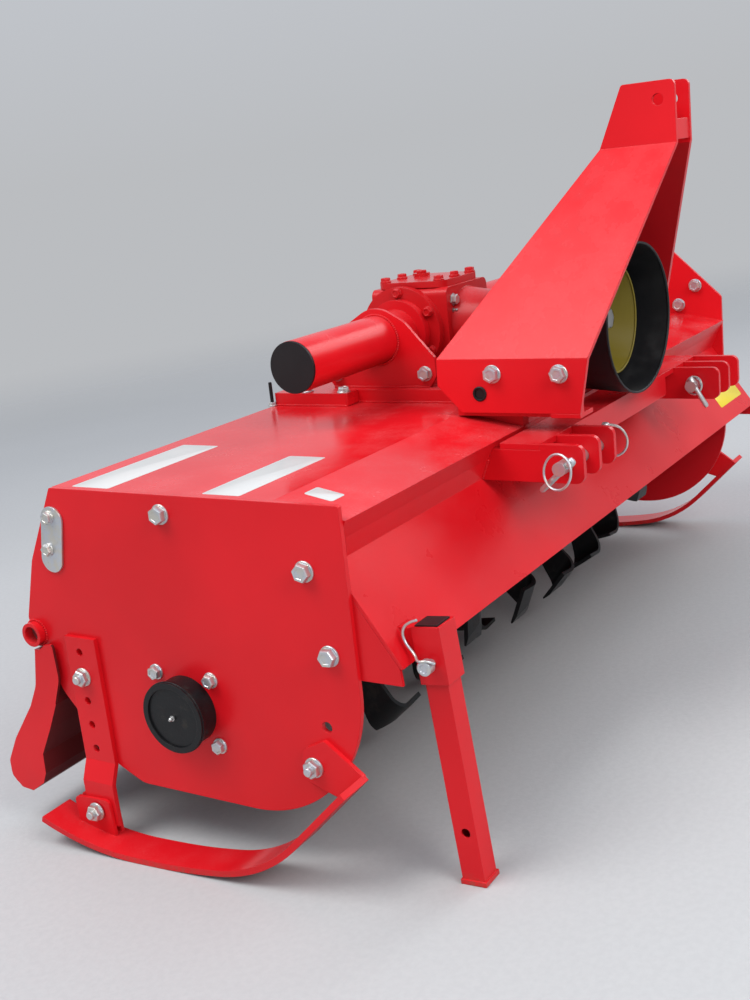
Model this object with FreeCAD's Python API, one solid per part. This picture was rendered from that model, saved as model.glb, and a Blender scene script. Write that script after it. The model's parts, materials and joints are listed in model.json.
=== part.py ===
# Rotary tiller for a tractor's three-point linkage, parked on its skids and front stand.
# Millimetres. While it is built, x = 0 is the hitch's centre plane, y = 0 the rotor's axis and
# z = 0 the stand's foot; +x is the driven end, -y the tractor. The deck is level while it is built;
# parked() and place() lean it back on its curved skids, as it stands.
import FreeCAD
import Part
import math
import os

V = FreeCAD.Vector
TURN_X = FreeCAD.Rotation(V(0, 1, 0), V(0, 0, 1), V(1, 0, 0))
TURN_Y = FreeCAD.Rotation(V(1, 0, 0), V(0, 0, 1), V(0, -1, 0))

# Overall sizes
half_width = 832.0          # hitch centre to the near end plate's outer face
rotor_z = 221.0             # rotor axis above the ground
drive_y = 10.0              # gearbox centre and cross tube
drive_z = 667.0             # input shaft and cross tube above the ground
end_sheet = 8.0             # end plates
park_lean = 3.1             # degrees the deck leans back when parked
park_y = -441.0             # the stand's foot, which the lean turns about
case_depth = 62.0           # side drive case beyond the far end plate
hood_sheet = 5.0
seat_gap = 0.3              # between pieces that lie against each other on a curve

# Hood section, front to rear
deck_z = 555.0              # top of the flat deck
deck_rear_y = 217.0
deck_fold_y = -205.0
ridge_y = -320.0
ridge_z = 533.0
lip_drop = 30.0             # turned-down edge below the ridge
lip_back = 16.0
panel_bend_y = -290.0       # inward bend of the front panel
panel_bend_z = 470.0
panel_low_y = -386.0        # lower edge of the front panel
panel_low_z = 332.0
plate_front_y = -316.0      # front edge of both end plates
gusset_lap = 20.0           # panel gusset behind the plates' front edge
gusset_high_z = 430.0
gusset_low_z = 306.0
plate_low_z = 74.0
plate_corner = 215.0        # large radius at the plate's lower front
plate_hole_y = -254.0       # spare hole in the near end plate
plate_hole_z = 230.0
plate_hole_r = 8.5
rear_mid_y = 272.0
rear_mid_z = 433.0
hinge_y = 302.0
hinge_z = 309.0
hinge_tube_r = 20.0
hinge_rod_r = 14.0
hinge_recess = 16.0         # rod ends inside the tube
hinge_tube_end = 14.0       # tube beyond the end plates
knuckle_in = 30.0           # tube inside the end plates
hinge_play = 0.08           # radial clearance of the tailboard on its rod

# Near bearing hub
hub_r = 56.0
hub_reach = 38.0
hub_bolt = 53.0             # half the side of the square of four bolts
hub_bolt_r = 6.5
hub_flange = 66.0           # half the side of its square flange inside the plate
hub_flange_sheet = 9.0

# Far end plate's tower, measured from the drive shaft
tower_rear = 112.0
tower_front = 150.0
tower_rise = 96.0
tower_step_z = 590.0        # where its front edge leaves the plate's
case_inset = 10.0           # drive case inside the tower's rear and top edges
case_front_inset = 30.0

# Rotor
shaft_r = 38.0
shaft_gap = 14.0            # rotor tube to the end plates
journal_r = 20.0
journal_play = 0.08
flange_r = 92.0
flange_sheet = 10.0
flange_count = 7
flange_end_gap = 92.0       # end plate to the outer flange
blade_tip_r = 210.0
blade_sheet = 8.0
blade_reach = 72.0          # length of the blade's turned foot
blade_bend = 34.0
blade_root_r = 50.0
blade_shank = 44.0          # width of the shank
blade_foot = 86.0           # width of the turned foot
blades_per_side = 3

# Skids and their straps; the runner's bends are read from its rear end, level ground below
skid_width = 64.0
skid_sheet = 10.0
skid_flat_y = 100.0         # its level part starts here
skid_steps = [
    # radius (0 is straight), degrees or length
    (500.0, 23.6),
    (0.0, 40.0),
    (1100.0, 6.8),
    (277.0, 35.2),
    (0.0, 137.0),
]
tab_sheet = 8.0
tab_bolt_y = -229.0
tab_bolt_z = 168.0
strap_y = 201.0
strap_hole_shift = 4.0      # its holes are this far behind its middle
strap_width = 64.0
strap_top_z = 314.0
strap_low_z = -3.0
strap_sheet = 8.0
strap_out = 14.0            # how far the strap's foot stands out
strap_bend_z = 100.0
strap_step = 32.0           # height over which it steps out
strap_hole_z = 289.0
strap_hole_pitch = 41.5
strap_holes = 5
strap_hole_r = 6.5
lug_y = 212.0
lug_half = 38.0
lug_top = 78.0
lug_wall = 6.0
lug_bolt_z = 22.0

# Front parking stand
stand_inset = 62.0          # stand to the near end plate's outer face
stand_y = -412.0
stand_low_z = 299.0         # sleeve from here
stand_high_z = 381.0        # to here
stand_lean = 5.5            # degrees, foot forward
sleeve_size = 44.0
sleeve_wall = 4.0
leg_play = 0.5
leg_wall = 3.0
leg_travel = 250.0
foot_size = 40.0
foot_sheet = 7.0
stand_pin_r = 6.0
stand_pin_z = 331.0
leg_hole_z = 79.0
web_height = 40.0

# Hitch: bracket plates, pins and beam
pin_y = -439.0
pin_z = 498.0
pin_r = 11.0
bracket_mid = 315.0         # middle plate of three
bracket_pitch = 63.0
bracket_sheet = 10.0
bracket_front_y = -468.0
bracket_far_front_y = -486.0
bracket_top_z = 530.0
bracket_low_z = 468.0
pin_end = 30.0              # pin beyond the outer plates
pin_groove = 1.6
beam_sheet = 10.0
beam_front_y = -396.0
beam_back_y = -327.0
beam_lip = 44.0             # turned-down front between the brackets
beam_lip_half = 200.0

# Headstock
mast_half = 310.0           # outer face of its side plates
mast_sheet = 8.0
foot_sheet_z = 7.0          # mast's foot, which lies on the deck
mast_fold_z = 652.0
ear_half = 40.0             # outer face of the top link ears
ear_rise = 161.0            # ears' fold above the guard's top
ear_front_y = -519.0        # foremost point of the machine
ear_height = 100.0
top_pin_y = -490.0
top_pin_rise = 70.0         # top link bore above the ears' fold
top_pin_r = 9.75
mast_bolt_r = 7.0
mast_bolt_z = 627.0
mast_bolt_ys = (-286.0, -404.0)
mast_hole_y = -260.0
mast_hole_z = 594.0
mast_hole_r = 9.0
mast_rear_y = -181.0
mast_toe_y = -436.0
mast_far_toe_y = -350.0
foot_strip_y = -385.0       # its outer strip carries the side plate ahead of this
foot_sheet_x = 44.0         # width of the mast's foot
foot_wedge_x = 20.0         # width of the wedge that seats it where the deck slopes
tie_height = 33.0
tie_sheet = 8.0

# Gearbox, its base and the cross tube
base_half = 206.0
base_ear = 37.0             # its wider rear part
base_ear_y = 53.0
base_front_y = -150.0
base_rear_y = 214.0
base_z = 579.0
base_sheet = 8.0
box_half = 82.0
box_front_y = -86.0
box_rear_y = 76.0
box_top_z = 745.0
cover_sheet = 12.0
tube_r = 44.5
tube_end_x = -449.0
collar_r = 62.0
flange_box_r = 84.0
arch_inset = 26.0           # tube supports to the base's ends
arch_shoulder_z = 632.0
arch_ring_r = 66.0
arch_half = 118.0
arch_sheet = 8.0
input_r = 17.45             # splined stub, 1 3/8 inch
input_end_y = -372.0
nose_y = -284.0             # front of the input bearing's nose, and the shield's back
nose_r = 50.0
nose_step_y = -160.0
input_play = 0.08
shield_half_x = 155.0       # oval guard's mouth
shield_half_z = 132.0
shield_taper = 12.0         # its back is smaller by this all round
shield_wall = 3.0
shield_front_y = -427.0
cup_low_r = 62.0            # yellow cup inside the guard
cup_high_r = 98.0
cup_front_y = -380.0
cup_wall = 2.5
cup_base = 3.0
cap_sheet = 5.0

# Tailboard
tail_gap = 6.0              # its end flanges to the end plates they overlap
tail_sheet = 4.0
tail_flange = 5.0
tail_rear_y = 419.0         # rearmost point of the machine
knuckle_gap = 3.0
knuckle_clear = 6.0         # tailboard's sheet to the fixed knuckles


def rounded(corners):
    """Closed wire in a plane from rows of (a, b, corner radius), given as vectors' first two values."""
    edges = []
    last = None
    first = None
    total = len(corners)
    for index, (a, b, radius) in enumerate(corners):
        here = V(a, b, 0)
        before = V(*corners[index - 1][:2], 0) - here
        after = V(*corners[(index + 1) % total][:2], 0) - here
        before.normalize()
        after.normalize()
        if radius > 0:
            half = before.getAngle(after) / 2
            run = radius / math.tan(half)
            start = here + before * run
            end = here + after * run
            inward = (before + after).normalize()
            middle = here + inward * (radius / math.sin(half) - radius)
            piece = Part.Arc(start, middle, end).toShape()
        else:
            start = end = here
            piece = None
        if last is not None and last.distanceToPoint(start) > 1e-6:
            edges.append(Part.LineSegment(last, start).toShape())
        if first is None:
            first = start
        if piece:
            edges.append(piece)
        last = end
    if last.distanceToPoint(first) > 1e-6:
        edges.append(Part.LineSegment(last, first).toShape())
    return Part.Wire(edges)


def sharp(points):
    return [(a, b, 0) for a, b in points]


def along_x(corners, low, high):
    """Outline in (y, z), carried from x = low to high."""
    face = Part.Face(rounded(corners))
    face.Placement = FreeCAD.Placement(V(low, 0, 0), TURN_X)
    return face.extrude(V(high - low, 0, 0))


def along_y(corners, low, high):
    """Outline in (x, z), carried from y = low to high."""
    face = Part.Face(rounded(corners))
    face.Placement = FreeCAD.Placement(V(0, low, 0), TURN_Y)
    return face.extrude(V(0, high - low, 0))


def along_z(corners, low, high):
    """Outline in (x, y), carried from z = low to high."""
    face = Part.Face(rounded(corners))
    face.translate(V(0, 0, low))
    return face.extrude(V(0, 0, high - low))


def block(x0, x1, y0, y1, z0, z1):
    return Part.makeBox(x1 - x0, y1 - y0, z1 - z0, V(x0, y0, z0))


def rod_x(y, z, radius, low, high):
    return Part.makeCylinder(radius, high - low, V(low, y, z), V(1, 0, 0))


def rod_y(x, z, radius, low, high):
    return Part.makeCylinder(radius, high - low, V(x, low, z), V(0, 1, 0))


def pipe_x(y, z, outer, inner, low, high):
    return rod_x(y, z, outer, low, high).cut(rod_x(y, z, inner, low - 1, high + 1))


def pipe_y(x, z, outer, inner, low, high):
    return rod_y(x, z, outer, low, high).cut(rod_y(x, z, inner, low - 1, high + 1))


def sheet(path, thickness):
    """Rows for a bent sheet: the path and its copy offset to the left by the thickness."""
    offset = []
    for index, point in enumerate(path):
        here = V(*point, 0)
        sides = []
        if index > 0:
            sides.append((here - V(*path[index - 1], 0)).normalize())
        if index < len(path) - 1:
            sides.append((V(*path[index + 1], 0) - here).normalize())
        normals = [V(-side.y, side.x, 0) for side in sides]
        if len(normals) == 1:
            shift = normals[0] * thickness
        else:
            mean = (normals[0] + normals[1]).normalize()
            shift = mean * (thickness / mean.dot(normals[0]))
        offset.append((point[0] + shift.x, point[1] + shift.y))
    return sharp(list(path) + offset[::-1])


def mirror(shape):
    """The same piece at the other side of the hitch's centre plane."""
    return shape.mirror(V(0, 0, 0), V(1, 0, 0))


def joined(shapes):
    result = shapes[0]
    if len(shapes) > 1:
        result = shapes[0].fuse(shapes[1:])
    return result.removeSplitter()


# Places that several pieces share
near_out = -half_width
near_in = near_out + end_sheet
far_in = half_width
far_out = half_width + end_sheet
case_out = far_out + case_depth
stand_x = near_out + stand_inset
ear_fold_z = drive_z + shield_half_z + ear_rise
ear_top_z = ear_fold_z + ear_height
top_pin_z = ear_fold_z + top_pin_rise
mast_low_z = deck_z + foot_sheet_z
beam_top_z = bracket_top_z
beam_low_z = beam_top_z - beam_sheet
arch_x = base_half - arch_inset
panel_slope = (panel_bend_y - panel_low_y) / (panel_bend_z - panel_low_z)
panel_top = (ridge_y + lip_back, ridge_z - lip_drop)
hood_foot = (hinge_y - 2.0, hinge_z + hinge_tube_r + 5.0)


def slope_z(y):
    """Height of the hood's front slope between its fold and its ridge."""
    return deck_z - (deck_z - ridge_z) * (deck_fold_y - y) / (deck_fold_y - ridge_y)


def lip_y(z):
    """Outer face of the hood's turned-down lip at a height below the ridge."""
    return ridge_y + lip_back * (ridge_z - z) / lip_drop


def panel_y(z):
    """Outer face of the front panel at a height below its bend."""
    return panel_low_y + (z - panel_low_z) * panel_slope


# End plates: y, z, corner radius, from the top rear corner round by the front
plate_rear = [
    (120.0, plate_low_z, 40.0),
    (170.0, 98.0, 30.0),
    (268.0, 214.0, 60.0),
    (284.0, 272.0, 0),
    (318.0, 330.0, 18.0),
    (rear_mid_y + 12.0, rear_mid_z, 60.0),
]
plate_front = [
    (plate_front_y, plate_low_z, plate_corner),
]
near_outline = [(deck_rear_y, deck_z, 4.0), (plate_front_y, deck_z, 4.0)] + plate_front + plate_rear
tower_rows = [
    (deck_rear_y + 24.0, 520.0, 60.0),
    (drive_y + tower_rear, drive_z + tower_rise, 80.0),
    (drive_y - tower_front, drive_z + tower_rise, 90.0),
    (plate_front_y, tower_step_z, 12.0),
]
far_outline = tower_rows + plate_front + plate_rear

# The drive case stands on the far plate, its rear edge kept clear of the tailboard's flange
case_outline = [
    (deck_rear_y + 12.0, 512.0, 60.0),
    (drive_y + tower_rear - case_inset, drive_z + tower_rise - case_inset, 74.0),
    (drive_y - tower_front + case_front_inset, drive_z + tower_rise - case_inset - 6.0, 84.0),
    (plate_front_y + case_front_inset, tower_step_z - 18.0, 12.0),
    (plate_front_y + case_front_inset, plate_low_z + 8.0, plate_corner - case_front_inset),
    (114.0, plate_low_z + 8.0, 36.0),
    (164.0, 106.0, 30.0),
    (236.0, 206.0, 50.0),
    (250.0, 300.0, 60.0),
    (rear_mid_y - 10.0, rear_mid_z, 60.0),
]


def end_plate_near():
    plate = along_x(near_outline, near_out, near_in)
    plate = plate.cut(rod_x(0, rotor_z, hub_r - 8, near_out - 1, near_in + 1))
    for y in (-hub_bolt, hub_bolt):
        for z in (-hub_bolt, hub_bolt):
            plate = plate.cut(rod_x(y, rotor_z + z, hub_bolt_r, near_out - 1, near_in + 1))
    plate = plate.cut(rod_x(plate_hole_y, plate_hole_z, plate_hole_r, near_out - 1, near_in + 1))
    return plate.cut(rod_x(hinge_y, hinge_z, hinge_tube_r + seat_gap, near_out - 1, near_in + 1))


def end_plate_far():
    plate = along_x(far_outline, far_in, far_out)
    plate = plate.cut(rod_x(0, rotor_z, hub_r - 8, far_in - 1, far_out + 1))
    plate = plate.cut(rod_x(drive_y, drive_z, tube_r - 6, far_in - 1, far_out + 1))
    return plate.cut(rod_x(hinge_y, hinge_z, hinge_tube_r + seat_gap, far_in - 1, far_out + 1))


def side_case():
    body = along_x(case_outline, far_out, case_out)
    hollow = Part.Face(rounded(case_outline).makeOffset2D(-6.0))
    hollow.Placement = FreeCAD.Placement(V(far_out - 1, 0, 0), TURN_X)
    return body.cut(hollow.extrude(V(case_depth - 5.0, 0, 0)))


def hood():
    path = [
        hood_foot,
        (rear_mid_y, rear_mid_z),
        (deck_rear_y, deck_z),
        (deck_fold_y, deck_z),
        (ridge_y, ridge_z),
        panel_top,
        (panel_bend_y, panel_bend_z),
        (panel_low_y, panel_low_z),
    ]
    return along_x(sheet(path, hood_sheet), near_in, far_in)


def panel_gusset():
    """Closes the end of the front panel ahead of the end plate, on that plate's inner face."""
    back = 1.3 * hood_sheet
    behind = plate_front_y + gusset_lap
    rows = sharp([
        (behind, gusset_high_z),
        (behind, gusset_low_z),
        (panel_low_y + 4.0, gusset_low_z),
        (panel_low_y + back, panel_low_z),
        (panel_y(gusset_high_z) + back, gusset_high_z),
    ])
    return along_x(rows, near_in, near_in + hood_sheet)


def hub_square(low, high):
    """Flange of a bearing hub inside its end plate, where the four bolts go."""
    corners = [(-1, -1), (1, -1), (1, 1), (-1, 1)]
    rows = [(y * hub_flange, rotor_z + z * hub_flange, 16.0) for y, z in corners]
    flange = along_x(rows, low, high)
    for y, z in corners:
        flange = flange.cut(rod_x(y * hub_bolt, rotor_z + z * hub_bolt, hub_bolt_r, low - 1, high + 1))
    return flange


def bearing_hub():
    hub = rod_x(0, rotor_z, hub_r - 3, near_out - hub_reach + 4, near_out)
    hub = hub.fuse(rod_x(0, rotor_z, hub_r, near_out - hub_reach, near_out - hub_reach + 9))
    hub = hub.fuse(rod_x(0, rotor_z, hub_r - 9, near_out - 1, near_in + 6))
    hub = hub.cut(rod_x(0, rotor_z, hub_r - 9, near_out - hub_reach - 1, near_out - hub_reach + 10))
    hub = hub.fuse(rod_x(0, rotor_z, 20, near_out - hub_reach + 3, near_out - hub_reach + 12))
    hub = hub.cut(rod_x(0, rotor_z, 7, near_out - hub_reach - 1, near_out - hub_reach + 9))
    hub = hub.fuse(hub_square(near_in, near_in + hub_flange_sheet))
    bore = rod_x(0, rotor_z, journal_r + journal_play, near_out - 12, near_in + 20)
    return hub.cut(bore)


def side_bearing():
    hub = rod_x(0, rotor_z, hub_r - 9, far_in - 1, far_out + 14)
    hub = hub.fuse(hub_square(far_in - hub_flange_sheet, far_in))
    return hub.cut(rod_x(0, rotor_z, journal_r + journal_play, far_in - 20, far_out + 20))


def flange_places():
    inner = far_in - near_in - 2 * flange_end_gap
    first = near_in + flange_end_gap
    return [first + inner * k / (flange_count - 1) for k in range(flange_count)]


def rotor_shaft():
    low = near_in + shaft_gap
    high = far_in - shaft_gap
    shaft = rod_x(0, rotor_z, shaft_r, low, high)
    shaft = shaft.fuse(rod_x(0, rotor_z, journal_r, near_out - 10, low))
    shaft = shaft.fuse(rod_x(0, rotor_z, journal_r, high, far_out + 12))
    for x in flange_places():
        shaft = shaft.fuse(rod_x(0, rotor_z, flange_r, x - flange_sheet / 2, x + flange_sheet / 2))
    return shaft.removeSplitter()


def blade():
    """One blade standing up from the axis at x = 0, foot turned to +x, shank on the flange's face."""
    tip = blade_tip_r
    section = [
        (0, blade_root_r, 0),
        (0, tip, blade_bend),
        (blade_reach, tip - 6.0, 0),
        (blade_reach, tip - 6.0 - blade_sheet, 0),
        (blade_sheet, tip - blade_sheet, blade_bend - blade_sheet),
        (blade_sheet, blade_root_r, 0),
    ]
    strip = along_y(section, -70.0, 70.0)
    side = [
        (-blade_shank / 2, blade_root_r, 8.0),
        (blade_shank / 2, blade_root_r, 8.0),
        (blade_shank / 2, tip * 0.55, 60.0),
        (blade_shank / 2 - 12.0, tip + 10.0, 0),
        (blade_shank / 2 - 12.0 - blade_foot, tip + 10.0, 0),
        (-blade_shank / 2 - 18.0, tip * 0.66, 50.0),
        (-blade_shank / 2, tip * 0.5, 30.0),
    ]
    shape = strip.common(along_x(side, -1.0, blade_reach + 1.0))
    return shape.common(rod_x(0, 0, blade_tip_r, -1.0, blade_reach + 1.0))


def tines():
    """Blades on both faces of each flange, the outer flanges only inward, each flange turned further."""
    pattern = {1: blade(), -1: mirror(blade())}
    step = 360.0 / blades_per_side
    blades = []
    for index, x in enumerate(flange_places()):
        for side in (1, -1):
            if index == 0 and side < 0 or index == flange_count - 1 and side > 0:
                continue
            for k in range(blades_per_side):
                angle = index * step / flange_count + k * step + (0 if side > 0 else step / 2)
                one = pattern[side].copy()
                one.rotate(V(0, 0, 0), V(1, 0, 0), angle)
                one.translate(V(x + side * flange_sheet / 2, 0, rotor_z))
                blades.append(one)
    return Part.Compound(blades)


def bent_strip(start, heading, steps, thickness):
    """Closed wire of a strip bent to its right; steps are (radius, degrees) or (0, length)."""
    lower = []
    upper = []
    point = V(start[0], start[1], 0)
    for radius, amount in steps:
        if radius:
            right = V(math.sin(heading), -math.cos(heading), 0)
            centre = point + right * radius
            turned = []
            for part in (0.0, 0.5, 1.0):
                angle = heading - math.radians(amount) * part
                turned.append(V(-math.sin(angle), math.cos(angle), 0))
            lower.append(Part.Arc(*[centre + turn * radius for turn in turned]).toShape())
            upper.append(Part.Arc(*[centre + turn * (radius - thickness) for turn in turned]).toShape())
            point = centre + turned[2] * radius
            heading -= math.radians(amount)
        else:
            lift = V(math.sin(heading), -math.cos(heading), 0) * thickness
            end = point + V(math.cos(heading), math.sin(heading), 0) * amount
            lower.append(Part.LineSegment(point, end).toShape())
            upper.append(Part.LineSegment(point + lift, end + lift).toShape())
            point = end
    ends = [Part.LineSegment(lower[k].Vertexes[n].Point, upper[k].Vertexes[n].Point).toShape()
            for k, n in ((0, 0), (-1, -1))]
    return Part.Wire(Part.__sortEdges__(lower + upper + ends))


def unparked(shape):
    """Turns a piece built on level ground into the frame where the deck is level."""
    shape.rotate(V(0, park_y, 0), V(1, 0, 0), -park_lean)
    return shape


def skid(inner, side):
    """Runner on the ground with its strap lug, and the tab that bolts to the face at x = inner."""
    radius, sweep = skid_steps[0]
    sweep = math.radians(sweep)
    start = (skid_flat_y + radius * math.sin(sweep), radius * (1 - math.cos(sweep)))
    face = Part.Face(bent_strip(start, math.pi + sweep, skid_steps, skid_sheet))
    low, high = sorted((inner + side * 2.0, inner + side * skid_width))
    face.Placement = FreeCAD.Placement(V(low, 0, 0), TURN_X)
    shapes = [face.extrude(V(high - low, 0, 0))]
    strap_in = inner + side * (strap_out - seat_gap)
    strap_over = inner + side * (strap_out + strap_sheet + seat_gap)
    for wall, outer in ((strap_in, strap_in - side * lug_wall), (strap_over, strap_over + side * lug_wall)):
        rows = [
            (lug_y - lug_half, 10.0, 0),
            (lug_y + lug_half, 28.0, 0),
            (lug_y + lug_half, lug_top, 10.0),
            (lug_y - lug_half, lug_top, 10.0),
        ]
        shapes.append(along_x(rows, min(wall, outer), max(wall, outer)))
    runner = unparked(joined(shapes))
    edge = inner + side * tab_sheet
    tab_rows = [
        (-210.0, 146.0, 14.0),
        (-210.0, 192.0, 16.0),
        (-251.0, 212.0, 6.0),
        (-311.0, 167.0, 0),
        (-270.0, 126.0, 0),
        (-243.0, 134.0, 6.0),
    ]
    tab = along_x(tab_rows, min(inner, edge), max(inner, edge))
    whole = joined([runner, tab])
    whole = whole.cut(rod_x(tab_bolt_y, tab_bolt_z, 7.0, min(inner, edge) - 1, max(inner, edge) + 1))
    return whole.cut(rod_x(strap_y + strap_hole_shift, lug_bolt_z, 6.5, low - 10, high + 10))


def strap(inner, side):
    """Height strap: flat on the plate with a row of holes, stepping out to the skid's lug."""
    out = inner + side * strap_out
    path = [
        (out, strap_low_z),
        (out, strap_bend_z - strap_step),
        (inner, strap_bend_z),
        (inner, strap_top_z),
    ]
    if side < 0:
        path = path[::-1]
    rows = sheet(path, -strap_sheet)
    low, high = sorted((inner - side * 20, out + side * 20))
    shape = along_y(rows, strap_y - strap_width / 2, strap_y + strap_width / 2)
    hole_y = strap_y + strap_hole_shift
    for k in range(strap_holes):
        shape = shape.cut(rod_x(hole_y, strap_hole_z - k * strap_hole_pitch, strap_hole_r, low, high))
    return shape.cut(rod_x(hole_y, lug_bolt_z, 6.5, low, high))


def leaned(shape):
    """Tilts a piece of the stand about its axis at the sleeve's lower end, foot forward."""
    shape.rotate(V(stand_x, stand_y, stand_low_z), V(1, 0, 0), -stand_lean)
    return shape


def square_tube(size, wall, low, high):
    half = size / 2
    outer = block(stand_x - half, stand_x + half, stand_y - half, stand_y + half, low, high)
    inner = half - wall
    return outer.cut(block(stand_x - inner, stand_x + inner, stand_y - inner, stand_y + inner, low - 1, high + 1))


def stand_sleeve():
    half = sleeve_size / 2
    sleeve = square_tube(sleeve_size, sleeve_wall, stand_low_z, stand_high_z)
    sleeve = leaned(sleeve)
    low = panel_low_z + 2.0
    high = low + web_height
    web = along_x(sharp([
        (stand_y + half - 8.0, low),
        (panel_y(low) - 0.1, low),
        (panel_y(high) - 0.1, high),
        (stand_y + half - 4.0, high),
    ]), stand_x - 14.0, stand_x + 14.0)
    inside = half - sleeve_wall
    web = web.cut(leaned(block(stand_x - half, stand_x + half, stand_y - half, stand_y + inside,
                           stand_low_z - 20, stand_high_z + 20)))
    sleeve = joined([sleeve, web])
    return sleeve.cut(rod_x(stand_y + 2.0, stand_pin_z, stand_pin_r + 0.1, stand_x - 30, stand_x))


leg_size = sleeve_size - 2 * sleeve_wall - 2 * leg_play


def stand_leg():
    long_leg = square_tube(leg_size, leg_wall, -40.0, stand_high_z - 4.0)
    long_leg = leaned(long_leg)
    half = foot_size / 2
    room = block(stand_x - half, stand_x + half, park_y - 60, stand_y + 60, foot_sheet - 1.0, stand_high_z + 40)
    leg = long_leg.common(unparked(room))
    foot = block(stand_x - half, stand_x + half, park_y - half, park_y + half, 0, foot_sheet)
    foot = unparked(foot)
    leg = joined([leg, foot])
    hole = rod_x(park_y + 6.5, leg_hole_z, stand_pin_r + 1, stand_x - half, stand_x + half)
    return leg.cut(hole)


def leg_plug():
    half = leg_size / 2 - leg_wall
    plug = block(stand_x - half, stand_x + half, stand_y - half, stand_y + half, stand_high_z - 24, stand_high_z - 4)
    top = leg_size / 2
    head = block(stand_x - top, stand_x + top, stand_y - top, stand_y + top, stand_high_z - 4, stand_high_z + 2)
    return leaned(joined([plug, head]))


def stand_pin():
    edge = stand_x - sleeve_size / 2
    y = stand_y + 2.0
    pin = rod_x(y, stand_pin_z, stand_pin_r, edge - 9, edge + sleeve_wall - 0.5)
    head = rod_x(y, stand_pin_z, stand_pin_r + 4.5, edge - 20, edge - 9)
    return joined([pin, head])


def bracket(side):
    front = bracket_front_y if side < 0 else bracket_far_front_y
    plates = []
    for step in (-1, 0, 1):
        x = side * bracket_mid + step * bracket_pitch
        rows = [
            (front, bracket_top_z, 14.0),
            (front, bracket_low_z, 14.0),
            (panel_y(bracket_low_z), bracket_low_z, 0),
            (panel_bend_y, panel_bend_z, 0),
            panel_top + (0,),
            (lip_y(beam_low_z) - 0.2, beam_low_z, 0),
            (beam_front_y, beam_low_z, 0),
            (beam_front_y, bracket_top_z, 0),
        ]
        plate = along_x(rows, x - bracket_sheet / 2, x + bracket_sheet / 2)
        plates.append(plate.cut(rod_x(pin_y, pin_z, pin_r + 0.3, x - 20, x + 20)))
    return Part.Compound(plates)


def hitch_pin(side):
    """Pin through three plates; a ring groove outside each outer plate leaves a plain free end."""
    middle = side * bracket_mid
    plates = bracket_pitch + bracket_sheet / 2
    reach = plates + pin_end
    pin = rod_x(pin_y, pin_z, pin_r, middle - reach, middle + reach)
    for end in (-1, 1):
        x = middle + end * (plates + pin_groove)
        band = pipe_x(pin_y, pin_z, pin_r + 2, pin_r - 1, x - pin_groove / 2, x + pin_groove / 2)
        pin = pin.cut(band)
    return pin


def hitch_beam():
    """Plate let into the bracket plates' tops, with a lip turned down between the brackets."""
    reach = bracket_mid + bracket_pitch + bracket_sheet / 2
    plate = block(-reach, reach, beam_front_y, beam_back_y, beam_low_z, beam_top_z)
    lip_rows = [
        (-beam_lip_half, beam_top_z - beam_lip, 6.0),
        (beam_lip_half, beam_top_z - beam_lip, 6.0),
        (beam_lip_half, beam_top_z, 0),
        (-beam_lip_half, beam_top_z, 0),
    ]
    return joined([plate, along_y(lip_rows, beam_front_y, beam_front_y + beam_sheet)])


mast_rows_near = [
    (mast_rear_y - 43.0, mast_low_z, 0),
    (mast_toe_y, mast_low_z, 0),
    (mast_toe_y - 18.0, mast_fold_z, 0),
    (ear_front_y, ear_fold_z, 0),
    (ear_front_y, ear_top_z, 10.0),
    (-428.0, ear_top_z, 6.0),
    (-385.0, ear_fold_z, 0),
    (mast_rear_y - 2.0, mast_fold_z, 0),
    (mast_rear_y, mast_low_z + 45.0, 0),
]
mast_rows_far = list(mast_rows_near)
mast_rows_far[1] = (mast_far_toe_y, mast_low_z, 0)
mast_rows_far[2] = (mast_far_toe_y - 16.0, mast_fold_z, 0)


def mast_plate(rows):
    path = [
        (-mast_half, mast_low_z),
        (-mast_half, mast_fold_z),
        (-ear_half, ear_fold_z),
        (-ear_half, ear_top_z),
    ]
    folded = along_y(sheet(path, -mast_sheet), ear_front_y - 20.0, mast_rear_y + 20.0)
    plate = folded.common(along_x(rows, -mast_half - 1, 0))
    plate = plate.cut(rod_x(top_pin_y, top_pin_z, top_pin_r, -ear_half - 5, 0))
    for y in mast_bolt_ys:
        plate = plate.cut(rod_x(y, mast_bolt_z, mast_bolt_r, -mast_half - 5, -mast_half + 20))
    return plate.cut(rod_x(mast_hole_y, mast_hole_z, mast_hole_r, -mast_half - 5, -mast_half + 20))


def mast_tie():
    """Small plate between the ears below the pin's bores."""
    gap = ear_half - mast_sheet
    front = ear_front_y + 2.0
    return block(-gap, gap, front, front + tie_sheet, ear_fold_z + 4.0, ear_fold_z + 4.0 + tie_height)


def mast_foot(toe):
    """Angle that the side plate is bolted to, on the deck, with a wedge where the deck slopes."""
    outer = -mast_half
    inner = outer + mast_sheet
    rear = mast_rear_y - 31.0
    upright = block(inner, inner + 8.0, toe, rear, mast_low_z - 2.0, mast_bolt_z + 22.0)
    wedge = [(rear, deck_z + 1.0), (rear, slope_z(rear) + 0.1), (ridge_y, ridge_z + 0.1), (ridge_y, deck_z + 1.0)]
    for y in mast_bolt_ys:
        upright = upright.cut(rod_x(y, mast_bolt_z, mast_bolt_r, outer, inner + 15))
    pieces = [
        upright,
        block(inner, inner + foot_sheet_x, toe, rear, deck_z, mast_low_z),
        along_x(sharp(wedge), inner + foot_sheet_x - foot_wedge_x, inner + foot_sheet_x),
    ]
    if toe < foot_strip_y:
        pieces.append(block(outer, inner + 4.0, toe, foot_strip_y, deck_z, mast_low_z))
    return joined(pieces)


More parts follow.
